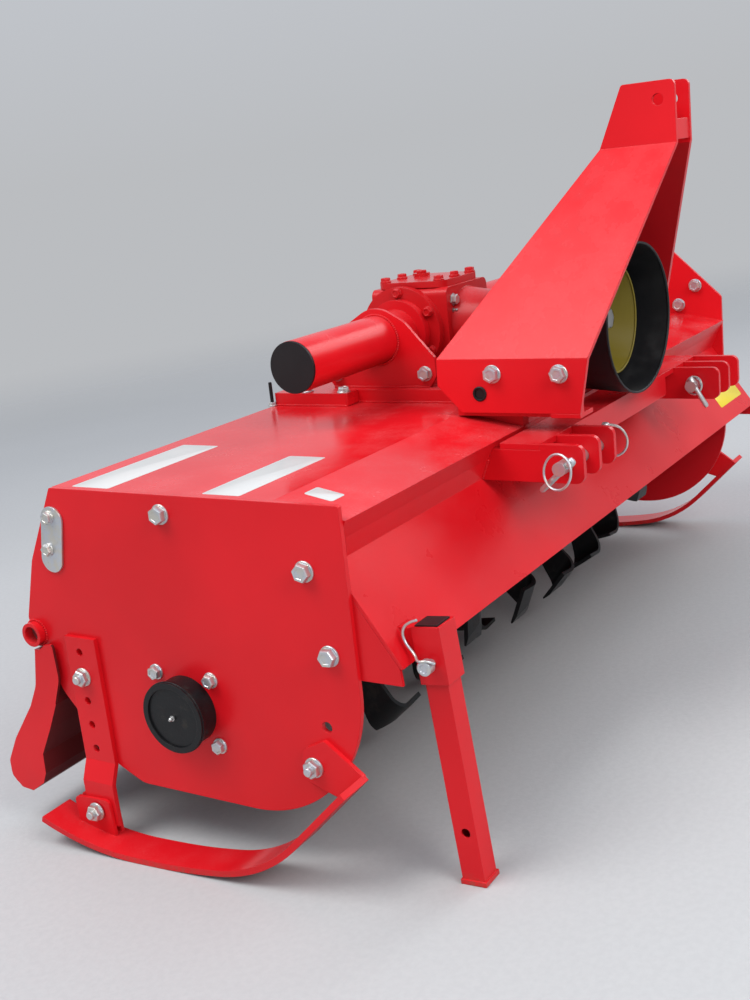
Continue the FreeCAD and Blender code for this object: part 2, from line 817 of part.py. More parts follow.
def channel(half, front, rear):
    rows = sharp([
        (-half, deck_z),
        (-half, base_z),
        (half, base_z),
        (half, deck_z),
        (half - base_sheet, deck_z),
        (half - base_sheet, base_z - base_sheet),
        (-half + base_sheet, base_z - base_sheet),
        (-half + base_sheet, deck_z),
    ])
    return along_y(rows, front, rear)


def gearbox_base():
    wide = channel(base_half + base_ear, base_ear_y, base_rear_y)
    return joined([channel(base_half, base_front_y, base_ear_y + 4.0), wide])


def gearbox():
    half = box_half
    rows = [
        (-half, base_z, 6.0),
        (-half, box_top_z, 14.0),
        (half, box_top_z, 14.0),
        (half, base_z, 6.0),
    ]
    body = along_y(rows, box_front_y, box_rear_y)
    run = box_front_y - nose_step_y
    body = body.fuse(Part.makeCone(nose_r + 20, nose_r + 6, run, V(0, box_front_y, drive_z), V(0, -1, 0)))
    body = body.fuse(rod_y(0, drive_z, nose_r, nose_y, nose_step_y))
    for side in (-1, 1):
        low, high = sorted((side * (half - 2), side * (half + 14)))
        body = body.fuse(rod_x(drive_y, drive_z, flange_box_r, low, high))
    bore = rod_y(0, drive_z, input_r + 2.5 + input_play, nose_y - 1, nose_y + 40)
    return body.cut(bore).removeSplitter()


def gearbox_cover():
    half = box_half - 6.0
    rows = [
        (-half, box_front_y + 10.0, 22.0),
        (half, box_front_y + 10.0, 22.0),
        (half, box_rear_y - 8.0, 22.0),
        (-half, box_rear_y - 8.0, 22.0),
    ]
    cover = along_z(rows, box_top_z, box_top_z + cover_sheet)
    boss = Part.makeCylinder(16.0, 7.0, V(22.0, drive_y + 12.0, box_top_z + cover_sheet))
    return joined([cover, boss])


def support_tube():
    low = tube_end_x
    flange = -box_half - 14.0
    tube = pipe_x(drive_y, drive_z, tube_r, tube_r - 5.0, low, flange)
    collar = pipe_x(drive_y, drive_z, collar_r, tube_r - 5.0, flange - 16.0, flange)
    return joined([tube, collar])


def tube_cap():
    return rod_x(drive_y, drive_z, tube_r - 0.5, tube_end_x - cap_sheet, tube_end_x)


def drive_tube():
    flange = box_half + 14.0
    tube = pipe_x(drive_y, drive_z, tube_r, tube_r - 6.0, flange, far_in)
    collar = pipe_x(drive_y, drive_z, collar_r, tube_r - 6.0, flange, flange + 16.0)
    end = pipe_x(drive_y, drive_z, collar_r + 12.0, tube_r - 6.0, far_in - 12.0, far_in)
    return joined([tube, collar, end])


def tube_support(side):
    turn = arch_ring_r * 0.9
    rows = [
        (drive_y - arch_half + 14.0, base_z, 0),
        (drive_y - arch_half, base_z + 20.0, 6.0),
        (drive_y - arch_half, arch_shoulder_z, 6.0),
        (drive_y - turn, arch_shoulder_z + arch_half - turn + 8.0, 40.0),
        (drive_y, drive_z + arch_ring_r, turn),
        (drive_y + turn, arch_shoulder_z + arch_half - turn + 8.0, 40.0),
        (drive_y + arch_half, arch_shoulder_z, 6.0),
        (drive_y + arch_half, base_z + 20.0, 6.0),
        (drive_y + arch_half - 14.0, base_z, 0),
    ]
    x = side * arch_x
    plate = along_x(rows, x - arch_sheet / 2, x + arch_sheet / 2)
    plate = plate.cut(rod_x(drive_y, drive_z, tube_r + seat_gap, x - 10, x + 10))
    for y in (drive_y - arch_half + 22.0, drive_y + arch_half - 22.0):
        plate = plate.cut(rod_x(y, base_z + 25.0, 6.5, x - 10, x + 10))
    return plate


def input_shaft():
    """Stub in the gearbox's nose; its splines are left plain."""
    stub = rod_y(0, drive_z, input_r, input_end_y + 2, nose_y + 2)
    tip = Part.makeCone(input_r - 2, input_r, 2, V(0, input_end_y, drive_z), V(0, 1, 0))
    root = rod_y(0, drive_z, input_r + 2.5, nose_y, nose_y + 38)
    return joined([stub, tip, root])


def oval_wire(inset, y):
    """The guard's oval section at one place along it, drawn in by an inset."""
    share = (y - shield_front_y) / (nose_y - shield_front_y)
    less = shield_taper * share + inset
    ring = Part.Ellipse(V(0, 0, 0), shield_half_x - less, shield_half_z - less).toShape()
    wire = Part.Wire([ring])
    wire.Placement = FreeCAD.Placement(V(0, y, drive_z), TURN_Y)
    return wire


def oval(inset, low, high):
    return Part.makeLoft([oval_wire(inset, low), oval_wire(inset, high)], True, True)


def shield_back():
    plate = oval(shield_wall + seat_gap, nose_y - 8.0, nose_y)
    return plate.cut(rod_y(0, drive_z, input_r + 8.0, nose_y - 9.0, nose_y + 1))


def pto_shield():
    return oval(0, shield_front_y, nose_y).cut(oval(shield_wall, shield_front_y - 1, nose_y + 1))


def guard_cup():
    """Cone that opens to the front round the stub, on a flat ring."""
    back = nose_y - 8.0
    seat = back - cup_base
    run = seat - cup_front_y
    middle = V(0, seat, drive_z)
    cone = Part.makeCone(cup_low_r, cup_high_r, run, middle, V(0, -1, 0))
    inside = Part.makeCone(cup_low_r - cup_wall, cup_high_r - cup_wall, run, middle, V(0, -1, 0))
    ring = pipe_y(0, drive_z, cup_low_r, input_r + 8.0, seat, back)
    return joined([cone.cut(inside), ring])


# Fixed knuckles of the tailboard's hinge: low x, high x
knuckle_rows = [
    (near_out - hinge_tube_end, near_in + knuckle_in),
    (-60.0, 60.0),
    (far_in - knuckle_in, far_out + hinge_tube_end),
]


def hinge_rod():
    low = knuckle_rows[0][0] + hinge_recess
    high = knuckle_rows[-1][1] - hinge_recess
    return rod_x(hinge_y, hinge_z, hinge_rod_r, low, high)


def hood_rear(up, inward):
    """Point measured along the hood's rear sheet from its lower edge, and inward from its outer face."""
    start = V(*hood_foot, 0)
    way = (V(rear_mid_y, rear_mid_z, 0) - start).normalize()
    point = start + way * up + V(-way.y, way.x, 0) * inward
    return (point.x, point.y)


def hinge_knuckles():
    """Tubes through the end plates, and one at the middle on a strip that lies inside the hood."""
    bore = hinge_rod_r + hinge_play
    tubes = [pipe_x(hinge_y, hinge_z, hinge_tube_r, bore, low, high) for low, high in knuckle_rows]
    inside = hood_sheet + 6.0
    rows = [hood_rear(-9.0, hood_sheet), hood_rear(48.0, hood_sheet), hood_rear(48.0, inside),
            hood_rear(-9.0, inside)]
    low, high = knuckle_rows[1]
    tubes[1] = joined([tubes[1], along_x(sharp(rows), low + 4.0, high - 4.0)])
    return Part.Compound(tubes)


def tail_spans():
    pairs = zip(knuckle_rows, knuckle_rows[1:])
    return [(first[1] + knuckle_gap, second[0] - knuckle_gap) for first, second in pairs]


# Tailboard's section from the hinge down and round its foot: y, z of the sheet's front face
tail_path = [
    (302.0, 290.0),
    (293.0, 255.0),
    (284.0, 224.0),
    (278.0, 190.0),
    (303.0, 142.0),
    (332.0, 92.0),
    (334.0, 56.0),
    (344.0, 36.0),
    (373.0, 17.0),
    (399.0, 21.0),
    (412.0, 30.0),
]
# Its end flanges close the fold and reach forward over the end plates' rear edges
tail_side = sharp(tail_path[5:9]) + [
    (399.0, 19.0, 8.0),
    (tail_rear_y, 38.0, 14.0),
    (tail_rear_y, 66.0, 20.0),
    (392.0, 112.0, 60.0),
    (340.0, 178.0, 40.0),
    (318.0, 217.0, 60.0),
    (302.0, 290.0, 0),
    (262.0, 296.0, 6.0),
    (260.0, 236.0, 40.0),
    (286.0, 174.0, 40.0),
]


def tailboard():
    low = near_out - tail_gap - tail_flange
    high = far_out + tail_gap + tail_flange
    board = along_x(sheet(tail_path, tail_sheet), low, high)
    ends = [along_x(tail_side, x, x + tail_flange) for x in (low, high - tail_flange)]
    shape = joined([board] + ends)
    for a, b in knuckle_rows:
        room = rod_x(hinge_y, hinge_z, hinge_tube_r + knuckle_clear, a - knuckle_clear, b + knuckle_clear)
        shape = shape.cut(room)
    turning = [pipe_x(hinge_y, hinge_z, hinge_tube_r, hinge_rod_r, a, b) for a, b in tail_spans()]
    shape = joined([shape] + turning)
    return shape.cut(rod_x(hinge_y, hinge_z, hinge_rod_r + hinge_play, low - 40, high + 40))


parts = {
    "end_plate_near": end_plate_near(),
    "end_plate_far": end_plate_far(),
    "side_drive_case": side_case(),
    "hood": hood(),
    "panel_gusset_near": panel_gusset(),
    "panel_gusset_far": mirror(panel_gusset()).translated(V(far_in + near_in, 0, 0)),
    "bearing_hub_near": bearing_hub(),
    "bearing_hub_far": side_bearing(),
    "hitch_beam": hitch_beam(),
    "hitch_bracket_near": bracket(-1),
    "hitch_bracket_far": bracket(1),
    "hitch_pin_near": hitch_pin(-1),
    "hitch_pin_far": hitch_pin(1),
    "mast_plate_near": mast_plate(mast_rows_near),
    "mast_plate_far": mirror(mast_plate(mast_rows_far)),
    "mast_tie": mast_tie(),
    "mast_foot_near": mast_foot(mast_toe_y),
    "mast_foot_far": mirror(mast_foot(mast_far_toe_y)),
    "gearbox_base": gearbox_base(),
    "gearbox": gearbox(),
    "gearbox_cover": gearbox_cover(),
    "tube_support_near": tube_support(-1),
    "tube_support_far": tube_support(1),
    "support_tube": support_tube(),
    "support_tube_cap": tube_cap(),
    "drive_tube": drive_tube(),
    "shield_back": shield_back(),
    "guard_cup": guard_cup(),
    "pto_shield": pto_shield(),
    "input_shaft": input_shaft(),
    "rotor_shaft": rotor_shaft(),
    "rotor_tines": tines(),
    "skid_near": skid(near_out, -1),
    "skid_far": skid(case_out, 1),
    "skid_strap_near": strap(near_out, -1),
    "skid_strap_far": strap(case_out, 1),
    "stand_sleeve": stand_sleeve(),
    "stand_leg": stand_leg(),
    "stand_leg_plug": leg_plug(),
    "stand_pin": stand_pin(),
    "hinge_rod": hinge_rod(),
    "hinge_knuckles": hinge_knuckles(),
    "tailboard": tailboard(),
}


def place(shapes):
    """Leans the machine back as it parks, its origin under the middle of its box, on the ground."""
    for shape in shapes.values():
        shape.rotate(V(0, park_y, 0), V(1, 0, 0), park_lean)
    box = Part.Compound(list(shapes.values())).optimalBoundingBox()
    shift = V(-(box.XMin + box.XMax) / 2, -(box.YMin + box.YMax) / 2, -box.ZMin)
    print("moved by", shift)
    return {name: shape.translated(shift) for name, shape in shapes.items()}


os.makedirs("parts", exist_ok=True)
for name, shape in place(parts).items():
    if not shape.isValid():
        print("not valid:", name)
    shape.exportStep("parts/%s.step" % name)
print(len(parts), "nodes")
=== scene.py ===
# %% [markdown]
# # A rotary tiller, dressed for its picture
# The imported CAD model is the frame: every sheet, tube and pin already has its true size and place.
# This file gives those pieces their paint, and adds what a maker adds last: bolts, clips, welds,
# blank stripes. It reads nothing but the frame, so it can be run again anywhere.

# %% Loading the frame
import bpy
import bmesh
import json
import math
from mathutils import Matrix, Vector


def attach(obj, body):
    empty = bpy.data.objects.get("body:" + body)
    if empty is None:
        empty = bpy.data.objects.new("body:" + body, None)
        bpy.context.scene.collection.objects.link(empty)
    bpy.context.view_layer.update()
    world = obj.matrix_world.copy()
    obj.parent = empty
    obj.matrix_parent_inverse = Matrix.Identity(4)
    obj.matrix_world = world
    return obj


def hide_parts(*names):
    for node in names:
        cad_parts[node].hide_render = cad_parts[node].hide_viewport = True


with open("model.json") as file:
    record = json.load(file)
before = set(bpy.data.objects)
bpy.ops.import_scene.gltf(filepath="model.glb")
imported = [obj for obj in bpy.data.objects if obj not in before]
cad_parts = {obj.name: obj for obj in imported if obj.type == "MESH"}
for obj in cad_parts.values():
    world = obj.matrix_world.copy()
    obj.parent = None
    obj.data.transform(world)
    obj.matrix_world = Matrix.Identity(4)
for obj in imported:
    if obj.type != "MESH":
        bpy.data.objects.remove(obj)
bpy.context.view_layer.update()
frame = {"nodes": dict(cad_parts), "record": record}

# %% [markdown]
# ## Working on the level deck
# The machine leans back a little on its curved skids. Its bolts and stripes are easier to place
# while the deck is level, in millimetres, as on a drawing. So each new piece is made in that
# upright frame and then moved by one matrix that leans it back with the rest.

# %% From the level drawing to the leaning machine
LEAN = math.radians(3.1)
FOOT = Vector((0.0, -0.441, 0.0))
MOVED = Vector((-0.035, 0.0801506, 0.0))
PARKED = (Matrix.Translation(MOVED) @ Matrix.Translation(FOOT)
          @ Matrix.Rotation(LEAN, 4, "X") @ Matrix.Translation(-FOOT))
NEAR = (-1, 0, 0)
FAR = (1, 0, 0)
FRONT = (0, -1, 0)
REAR = (0, 1, 0)
UP = (0, 0, 1)


def mm(x, y, z):
    """A point of the level drawing, given in millimetres."""
    return Vector((x, y, z)) / 1000.0


print("the deck leans back", round(math.degrees(LEAN), 1), "degrees")

# %% Places that several pieces share, in millimetres of the level drawing
END_SHEET = 8
NEAR_PLATE = -832               # outer face of the near end plate
NEAR_INSIDE = NEAR_PLATE + END_SHEET
FAR_PLATE = 832                 # inner face of the far end plate
FAR_OUTSIDE = FAR_PLATE + END_SHEET
CASE_FACE = 902                 # outer face of the side drive case
STRAP_SHEET = 8
NEAR_STRAP = NEAR_PLATE - STRAP_SHEET
FAR_STRAP = CASE_FACE + STRAP_SHEET
DECK_Z = 555
BASE_Z = 579                    # top of the gearbox base
ROTOR_Z = 221
TUBE_Y = 10                     # axis of the cross tube
TUBE_Z = 667                    # and of the input shaft
HINGE_Y = 302
HINGE_Z = 309
MAST_X = 310                    # outer faces of the headstock's side plates
print("end plates", FAR_PLATE - NEAR_INSIDE, "mm apart inside")

# %% [markdown]
# ## The camera
# The lens and stand point were worked out from the photograph by following edges whose real
# sizes are known. The camera is given the same three directions, right, up and back.

# %% Camera from the photograph
CAMERA_AT = mm(-2108.80, -1218.74, 977.04)
RIGHT = Vector((0.52419516, -0.84498761, -0.10590268))
DOWN = Vector((-0.27512912, -0.05035041, -0.96008791))
AHEAD = Vector((0.80593015, 0.53241035, -0.25887414))
FOCAL_PIXELS = 1245.27
LONG_SIDE_PIXELS = 1000.0
SENSOR_MM = 36.0
lens = bpy.data.cameras.new("camera")
lens.sensor_fit = "AUTO"
lens.sensor_width = SENSOR_MM
lens.lens = FOCAL_PIXELS / LONG_SIDE_PIXELS * SENSOR_MM
lens.clip_start = 0.05
lens.clip_end = 60.0
camera = bpy.data.objects.new("camera", lens)
bpy.context.scene.collection.objects.link(camera)
turn = Matrix((RIGHT, -DOWN, -AHEAD)).transposed().to_4x4()
camera.matrix_world = PARKED @ Matrix.Translation(CAMERA_AT) @ turn
bpy.context.scene.camera = camera
print("camera at", tuple(round(v, 3) for v in camera.matrix_world.translation))


# %% [markdown]
# ## Shader maths as Python
# A paint is mostly arithmetic on a few noises. Wrapping a socket in a small class lets an
# expression such as `1 - dust * 0.3` add its own Math nodes, which reads like the sentence it is.
# Every other node comes from one method, `node`.

# %% Sockets that can be added and multiplied
class Value:
    def __init__(self, nodes, socket):
        self.nodes = nodes
        self.socket = socket

    def maths(self, operation, first, second):
        return self.nodes.node("ShaderNodeMath", {"operation": operation}, {0: first, 1: second})

    def __add__(self, other):
        return self.maths("ADD", self, other)

    def __sub__(self, other):
        return self.maths("SUBTRACT", self, other)

    def __rsub__(self, other):
        return self.maths("SUBTRACT", other, self)

    def __mul__(self, other):
        return self.maths("MULTIPLY", self, other)

    __radd__ = __add__
    __rmul__ = __mul__

    def between(self, low, high):
        """0 below low, 1 above high, smooth between."""
        return self.nodes.node("ShaderNodeMapRange", {"interpolation_type": "SMOOTHSTEP"},
                               {"Value": self, "From Min": low, "From Max": high})


# %% A node tree, and a material on top of it
class Nodes:
    """Adds nodes to a tree, and plugs numbers, colours or other sockets into them."""

    def __init__(self, tree):
        self.tree = tree

    def plug(self, socket, value):
        if isinstance(value, Value):
            self.tree.links.new(value.socket, socket)
        elif isinstance(value, tuple) and len(value) == 3 and len(socket.default_value) == 4:
            socket.default_value = (*value, 1.0)
        else:
            socket.default_value = value

    def node(self, kind, settings, values, out=0):
        made = self.tree.nodes.new(kind)
        for key, value in settings.items():
            setattr(made, key, value)
        for key, value in values.items():
            self.plug(made.inputs[key], value)
        return Value(self, made.outputs[out])

    def mix(self, factor, first, second):
        colours = {0: factor, 6: first, 7: second}
        return self.node("ShaderNodeMix", {"data_type": "RGBA"}, colours, out=2)


class Finish(Nodes):
    """A material in the making: its Principled shader, and the nodes that feed it."""

    def __init__(self, name, colour, roughness, metallic=0.0, **plain):
        self.material = bpy.data.materials.new(name)
        self.material.use_nodes = True
        super().__init__(self.material.node_tree)
        self.shader = self.tree.nodes["Principled BSDF"]
        self.set("Base Color", colour)
        self.set("Roughness", roughness)
        self.set("Metallic", metallic)
        for socket, value in plain.items():
            self.set(socket.replace("_", " "), value)

    def set(self, name, value):
        self.plug(self.shader.inputs[name], value)

    def place(self):
        return self.node("ShaderNodeTexCoord", {}, {}, out="Object")

    def noise(self, scale, detail, roughness=0.5, stretch=None):
        where = self.place()
        if stretch:
            where = self.node("ShaderNodeMapping", {}, {"Vector": where, "Scale": stretch})
        values = {"Vector": where, "Scale": scale, "Detail": detail, "Roughness": roughness}
        return self.node("ShaderNodeTexNoise", {}, values)

    def facing(self, axis):
        """The piece's own normal along x, y or z, which stays with the piece when it moves."""
        normal = self.node("ShaderNodeTexCoord", {}, {}, out="Normal")
        return self.node("ShaderNodeSeparateXYZ", {}, {0: normal}, out=axis)

    def height(self):
        return self.node("ShaderNodeSeparateXYZ", {}, {0: self.place()}, out=2)

    def bump(self, height, depth, strength, edge=0.0):
        """Fine relief; edge is the radius that sharp edges show, for the light alone."""
        values = {"Height": height, "Distance": depth, "Strength": strength}
        if edge:
            values["Normal"] = self.node("ShaderNodeBevel", {"samples": 4}, {"Radius": edge})
        self.set("Normal", self.node("ShaderNodeBump", {}, values))


print("a finish starts from a Principled shader")

# %% [markdown]
# ## Red powder coat
# The sheets are sprayed in a bright red and baked. Close up such a coat has the faint skin of an
# orange; from further off it is only a little uneven, and where it faces the sky a thin film of
# yard dust makes it paler and less sharp. The sheets' edges are rounded for the light alone, and
# what touches the ground has lost some paint and taken some soil. Faces that look down are painted
# darker as painted shade, and the tailboard's faces that look to the front carry painted shade too.

# %% The paints
RED = (0.725, 0.0085, 0.0150)
RED_DEEP = (0.60, 0.006, 0.0110)
CASTING_RED = (0.64, 0.012, 0.016)
CASTING_DEEP = (0.50, 0.007, 0.010)
DUST = (0.52, 0.33, 0.33)
SOIL = (0.17, 0.11, 0.07)
PRIMER = (0.20, 0.07, 0.06)
# Dark red for painted shade: laid on faces that look down, and on the tailboard's front faces.
PAINTED_SHADE_RED = (0.075, 0.010, 0.011)
SOIL_RISE = 0.022               # metres of height over which the soil thins out


def red_coat(name, colour, deep, roughness, dusty, ground=0.0, inside=False):
    coat = Finish(name, colour, roughness, Specular_IOR_Level=0.24)
    broad = coat.noise(2.2, 4.0)
    cloud = coat.noise(9.0, 5.0, 0.6)
    speck = coat.noise(260.0, 2.0)
    up = coat.facing(2).between(0.35, 1.0)
    dust_film = up * cloud.between(0.35, 0.75) * dusty
    tone = coat.mix(broad.between(0.35, 0.7), deep, colour)
    chips = coat.noise(75.0, 5.0, 0.65).between(0.765, 0.785) * 0.6
    tone = coat.mix(chips, tone, PRIMER)
    # Painted shade: faces that look down darken towards the dark red, unevenly, and turn a little
    # rougher.
    underside_shade = (0 - coat.facing(2)).between(0.4, 0.9) * (0.25 + cloud * 0.5)
    tone = coat.mix(underside_shade, tone, PAINTED_SHADE_RED)
    if ground:
        low = 1 - (coat.height() + cloud * 0.03).between(0.012, 0.012 + ground)
        patch = low * coat.noise(150.0, 5.0, 0.6).between(0.35, 0.75) * (1 - up)
        tone = coat.mix(patch * 0.6, tone, SOIL)
    # Painted shade on the tailboard: its faces that look to the front darken almost to the dark red.
    if inside:
        tone = coat.mix((0 - coat.facing(1)).between(0.15, 0.6) * 0.92, tone, PAINTED_SHADE_RED)
    dusted = dust_film * (0.30 + speck.between(0.4, 0.7) * 0.25)
    coat.set("Base Color", coat.mix(dusted, tone, DUST))
    dulled = (chips + underside_shade) * 0.3
    coat.set("Roughness", roughness - up * 0.13 + dust_film * 0.30 + dulled + (cloud - 0.5) * 0.10)
    skin = coat.noise(420.0, 2.0, 0.4) + broad * 0.6 - chips * 0.5
    coat.bump(skin, 0.0006, 0.12, edge=0.0016)
    return coat.material


body_red = red_coat("red_powder_coat", RED, RED_DEEP, 0.31, 0.36)
ground_red = red_coat("red_coat_near_the_soil", RED, RED_DEEP, 0.34, 0.12, ground=SOIL_RISE)
# The tailboard: soil near its foot, and painted shade on its faces that look to the front.
tail_red = red_coat("red_coat_of_the_tailboard", RED, RED_DEEP, 0.34, 0.12, ground=SOIL_RISE,
                    inside=True)
gearbox_red = red_coat("red_enamel_on_casting", CASTING_RED, CASTING_DEEP, 0.30, 0.25)
print("reds:", [paint.name for paint in (body_red, ground_red, tail_red, gearbox_red)])

# %% [markdown]
# ## Black, zinc and plastic
# The rotor is dipped in black paint and keeps some soil. Bolts are zinc plated: bright, slightly
# blue and yellow in patches. The guard and caps are black plastic with a fine grain. Each of them
# is one colour and one roughness, moved a little by noises, which is cheap to render.

# %% Black paint and bright metals
def black_paint():
    coat = Finish("black_paint", (0.008, 0.008, 0.009), 0.42, Specular_IOR_Level=0.25)
    soil = coat.noise(34.0, 5.0, 0.65).between(0.56, 0.74)
    worn = coat.noise(120.0, 3.0).between(0.62, 0.72)
    coat.set("Base Color", coat.mix(soil * 0.30, (0.008, 0.008, 0.009), (0.08, 0.07, 0.055)))
    coat.set("Roughness", 0.36 + soil * 0.35 + worn * 0.1)
    coat.bump(coat.noise(300.0, 3.0) + soil * 1.5, 0.0008, 0.25, edge=0.0015)
    return coat.material


def zinc(name, tint, roughness):
    steel = Finish(name, tint, roughness, 0.8)
    patch = steel.noise(70.0, 3.0, 0.6)
    tone = steel.mix(patch.between(0.35, 0.7), tint, (0.60, 0.575, 0.51))
    stain = steel.noise(150.0, 4.0, 0.6).between(0.60, 0.78)
    steel.set("Base Color", steel.mix(stain * 0.5, tone, (0.30, 0.28, 0.25)))
    steel.set("Roughness", roughness + patch * 0.16 + stain * 0.2)
    steel.bump(steel.noise(700.0, 2.0), 0.0002, 0.2, edge=0.0006)
    return steel.material


def turned_steel():
    steel = Finish("bare_steel", (0.42, 0.41, 0.40), 0.34, 1.0)
    grease = steel.noise(60.0, 4.0).between(0.5, 0.7)
    steel.set("Base Color", steel.mix(grease * 0.7, (0.46, 0.45, 0.44), (0.10, 0.08, 0.05)))
    steel.set("Metallic", 1 - grease * 0.6)
    steel.set("Roughness", 0.30 + grease * 0.25)
    steel.bump(steel.noise(900.0, 2.0), 0.0002, 0.25, edge=0.0006)
    return steel.material


# %% Plastic and printed foil
def moulded(name, colour, pale, roughness):
    plastic = Finish(name, colour, roughness, Specular_IOR_Level=0.35)
    dust = plastic.noise(16.0, 5.0, 0.6).between(0.45, 0.8)
    up = plastic.facing(2).between(-0.1, 0.9)
    plastic.set("Base Color", plastic.mix(dust * (0.05 + up * 0.16), colour, pale))
    plastic.set("Roughness", roughness + dust * 0.2)
    plastic.bump(plastic.noise(520.0, 2.0, 0.6), 0.0004, 0.3, edge=0.0008)
    return plastic.material


def blank_foil(name, colour, worn):
    """Printed foil, left blank: smooth, a little scuffed towards the paint below."""
    foil = Finish(name, colour, 0.30)
    scuff = foil.noise(90.0, 6.0, 0.7, (1, 0.25, 1)).between(0.64, 0.72)
    grime = foil.noise(14.0, 4.0).between(0.45, 0.8)
    foil.set("Base Color", foil.mix(scuff * 0.6 + grime * 0.18, colour, worn))
    foil.set("Roughness", 0.28 + scuff * 0.2 + grime * 0.15)
    foil.bump(foil.noise(60.0, 2.0), 0.0002, 0.15)
    return foil.material


# %% The finishes by slot
finishes = {
    "body_red": body_red,
    "gearbox_red": gearbox_red,
    "black_parts": black_paint(),
    "zinc_steel": zinc("zinc_plate", (0.56, 0.58, 0.62), 0.27),
    "bare_steel": turned_steel(),
    "dark_plastic": moulded("black_plastic", (0.006, 0.006, 0.007), (0.09, 0.085, 0.08), 0.48),
    # The yellow is darkened to an olive: painted shade for the cup that sits deep in the black guard.
    "shield_yellow": moulded("yellow_plastic", (0.175, 0.130, 0.008), (0.22, 0.19, 0.08), 0.42),
}
pale_foil = blank_foil("pale_foil", (0.61, 0.605, 0.585), (0.60, 0.47, 0.42))
yellow_foil = blank_foil("yellow_foil", (0.84, 0.66, 0.02), (0.66, 0.50, 0.10))
print("finishes:", list(finishes))

# %% [markdown]
# ## Painting the frame's own pieces
# Every sheet and tube of the frame names the slot that it is finished in. The pieces that stand in
# the soil, and the tailboard that smooths it, take a soiled kind of the same red, so that the dirt
# is on them and nowhere else. The tailboard's red also carries painted shade on its front faces.

# %% Paint on the frame
GROUND_PIECES = ("skid_near", "skid_far", "skid_strap_near", "skid_strap_far", "stand_leg")
soiled_and_shaded = dict.fromkeys(GROUND_PIECES, ground_red)
# The tailboard's coat carries painted shade on its front faces as well as soil.
soiled_and_shaded["tailboard"] = tail_red
slots = {row["node"]: row["material_slot"] for row in frame["record"]["subparts"]}
for node, piece in frame["nodes"].items():
    piece.data.materials.clear()
    piece.data.materials.append(soiled_and_shaded.get(node, finishes[slots[node]]))
print("painted", len(slots), "nodes")

# %% [markdown]
# ## Making a piece by hand
# Blender's operators act on whatever is selected, so each piece starts with a clean slate. The
# helpers below do only that: begin, choose parts by where they are, and hand the piece over to the
# frame with its finish and the body it rides on.

# %% Starting clean and choosing parts
def clean_slate():
    if bpy.context.object and bpy.context.object.mode != "OBJECT":
        bpy.ops.object.mode_set(mode="OBJECT")
    bpy.ops.object.select_all(action="DESELECT")


def only(*pieces):
    clean_slate()
    for piece in pieces:
        piece.select_set(True)
    bpy.context.view_layer.objects.active = pieces[0]


def edit(piece):
    only(piece)
    bpy.ops.object.mode_set(mode="EDIT")


def done():
    bpy.ops.object.mode_set(mode="OBJECT")


def choose(piece, test, kind="faces"):
    """In edit mode, selects the verts, edges or faces whose middle passes the test."""
    mode = {"verts": "VERT", "edges": "EDGE", "faces": "FACE"}[kind]
    bpy.ops.mesh.select_mode(type=mode)
    bpy.ops.mesh.select_all(action="DESELECT")
    mesh = bmesh.from_edit_mesh(piece.data)
    for part in getattr(mesh, kind):
        corners = [part.co] if kind == "verts" else [vertex.co for vertex in part.verts]
        middle = sum(corners, Vector()) / len(corners)
        if test(middle, part):
            part.select_set(True)
    mesh.select_flush_mode()
    bmesh.update_edit_mesh(piece.data)


# %% Settling, joining, softening and copying
def settled(piece):
    """Puts the piece's place, turn and size into its mesh."""
    only(piece)
    bpy.ops.object.transform_apply(location=True, rotation=True, scale=True)
    return piece


def merged(*pieces):
    only(*pieces)
    if len(pieces) > 1:
        bpy.ops.object.join()
    return bpy.context.object


def softened(piece, width, segments=2, angle=30.0):
    """Rounds the sharp edges with a bevel that is applied."""
    only(piece)
    bevel = piece.modifiers.new("edges", "BEVEL")
    bevel.width = width
    bevel.segments = segments
    bevel.limit_method = "ANGLE"
    bevel.angle_limit = math.radians(angle)
    bpy.ops.object.modifier_apply(modifier=bevel.name)
    return piece


def moved(piece, matrix):
    piece.data.transform(matrix)
    return piece


def repeated(pattern, places):
    """Copies of one piece, each with its own mesh, joined and the pattern removed."""
    copies = []
    for place in places:
        copy = pattern.copy()
        copy.data = pattern.data.copy()
        bpy.context.scene.collection.objects.link(copy)
        copy.data.transform(place)
        copies.append(copy)
    bpy.data.objects.remove(pattern)
    return merged(*copies)


# %% Standing a piece on its place
def aimed(place, normal, spin=0.0):
    """Matrix that stands +Z of a piece on a place, along a normal."""
    stand = Vector(normal).to_track_quat("Z", "Y").to_matrix().to_4x4()
    return Matrix.Translation(place) @ stand @ Matrix.Rotation(math.radians(spin), 4, "Z")


def framed(place, normal, along):
    """Matrix that lays +Z of a piece along a normal and its +X along a direction."""
    up = Vector(normal).normalized()
    side = Vector(along) - up * up.dot(Vector(along))
    side.normalize()
    stand = Matrix((side, up.cross(side), up)).transposed().to_4x4()
    return Matrix.Translation(place) @ stand


# %% Handing a piece over
def finished(piece, name, slot, body="root", smooth=30.0):
    """Names, shades and hands over a piece that is in place on the level drawing.

    The slot is one of the frame's, by name, or a material of the piece's own.
    """
    piece.name = name
    settled(piece)
    piece.data.transform(PARKED)
    only(piece)
    bpy.ops.object.shade_smooth_by_angle(angle=math.radians(smooth))
    piece.data.materials.clear()
    piece.data.materials.append(finishes[slot] if isinstance(slot, str) else slot)
    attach(piece, body)
    print(name, len(piece.data.polygons), "faces")
    return piece


# %% [markdown]
# ## A lathe made of extrusions
# Bolt heads, nuts, washers, pins and caps are all turned or nearly so. A disc is added, and its top
# is drawn up and in or out, step by step, as a lathe hand reads a drawing: radius and height. With
# six sides instead of many, the same steps give a hexagon with its chamfer. A spin would do the
# same for round pieces, but not for the hexagons.

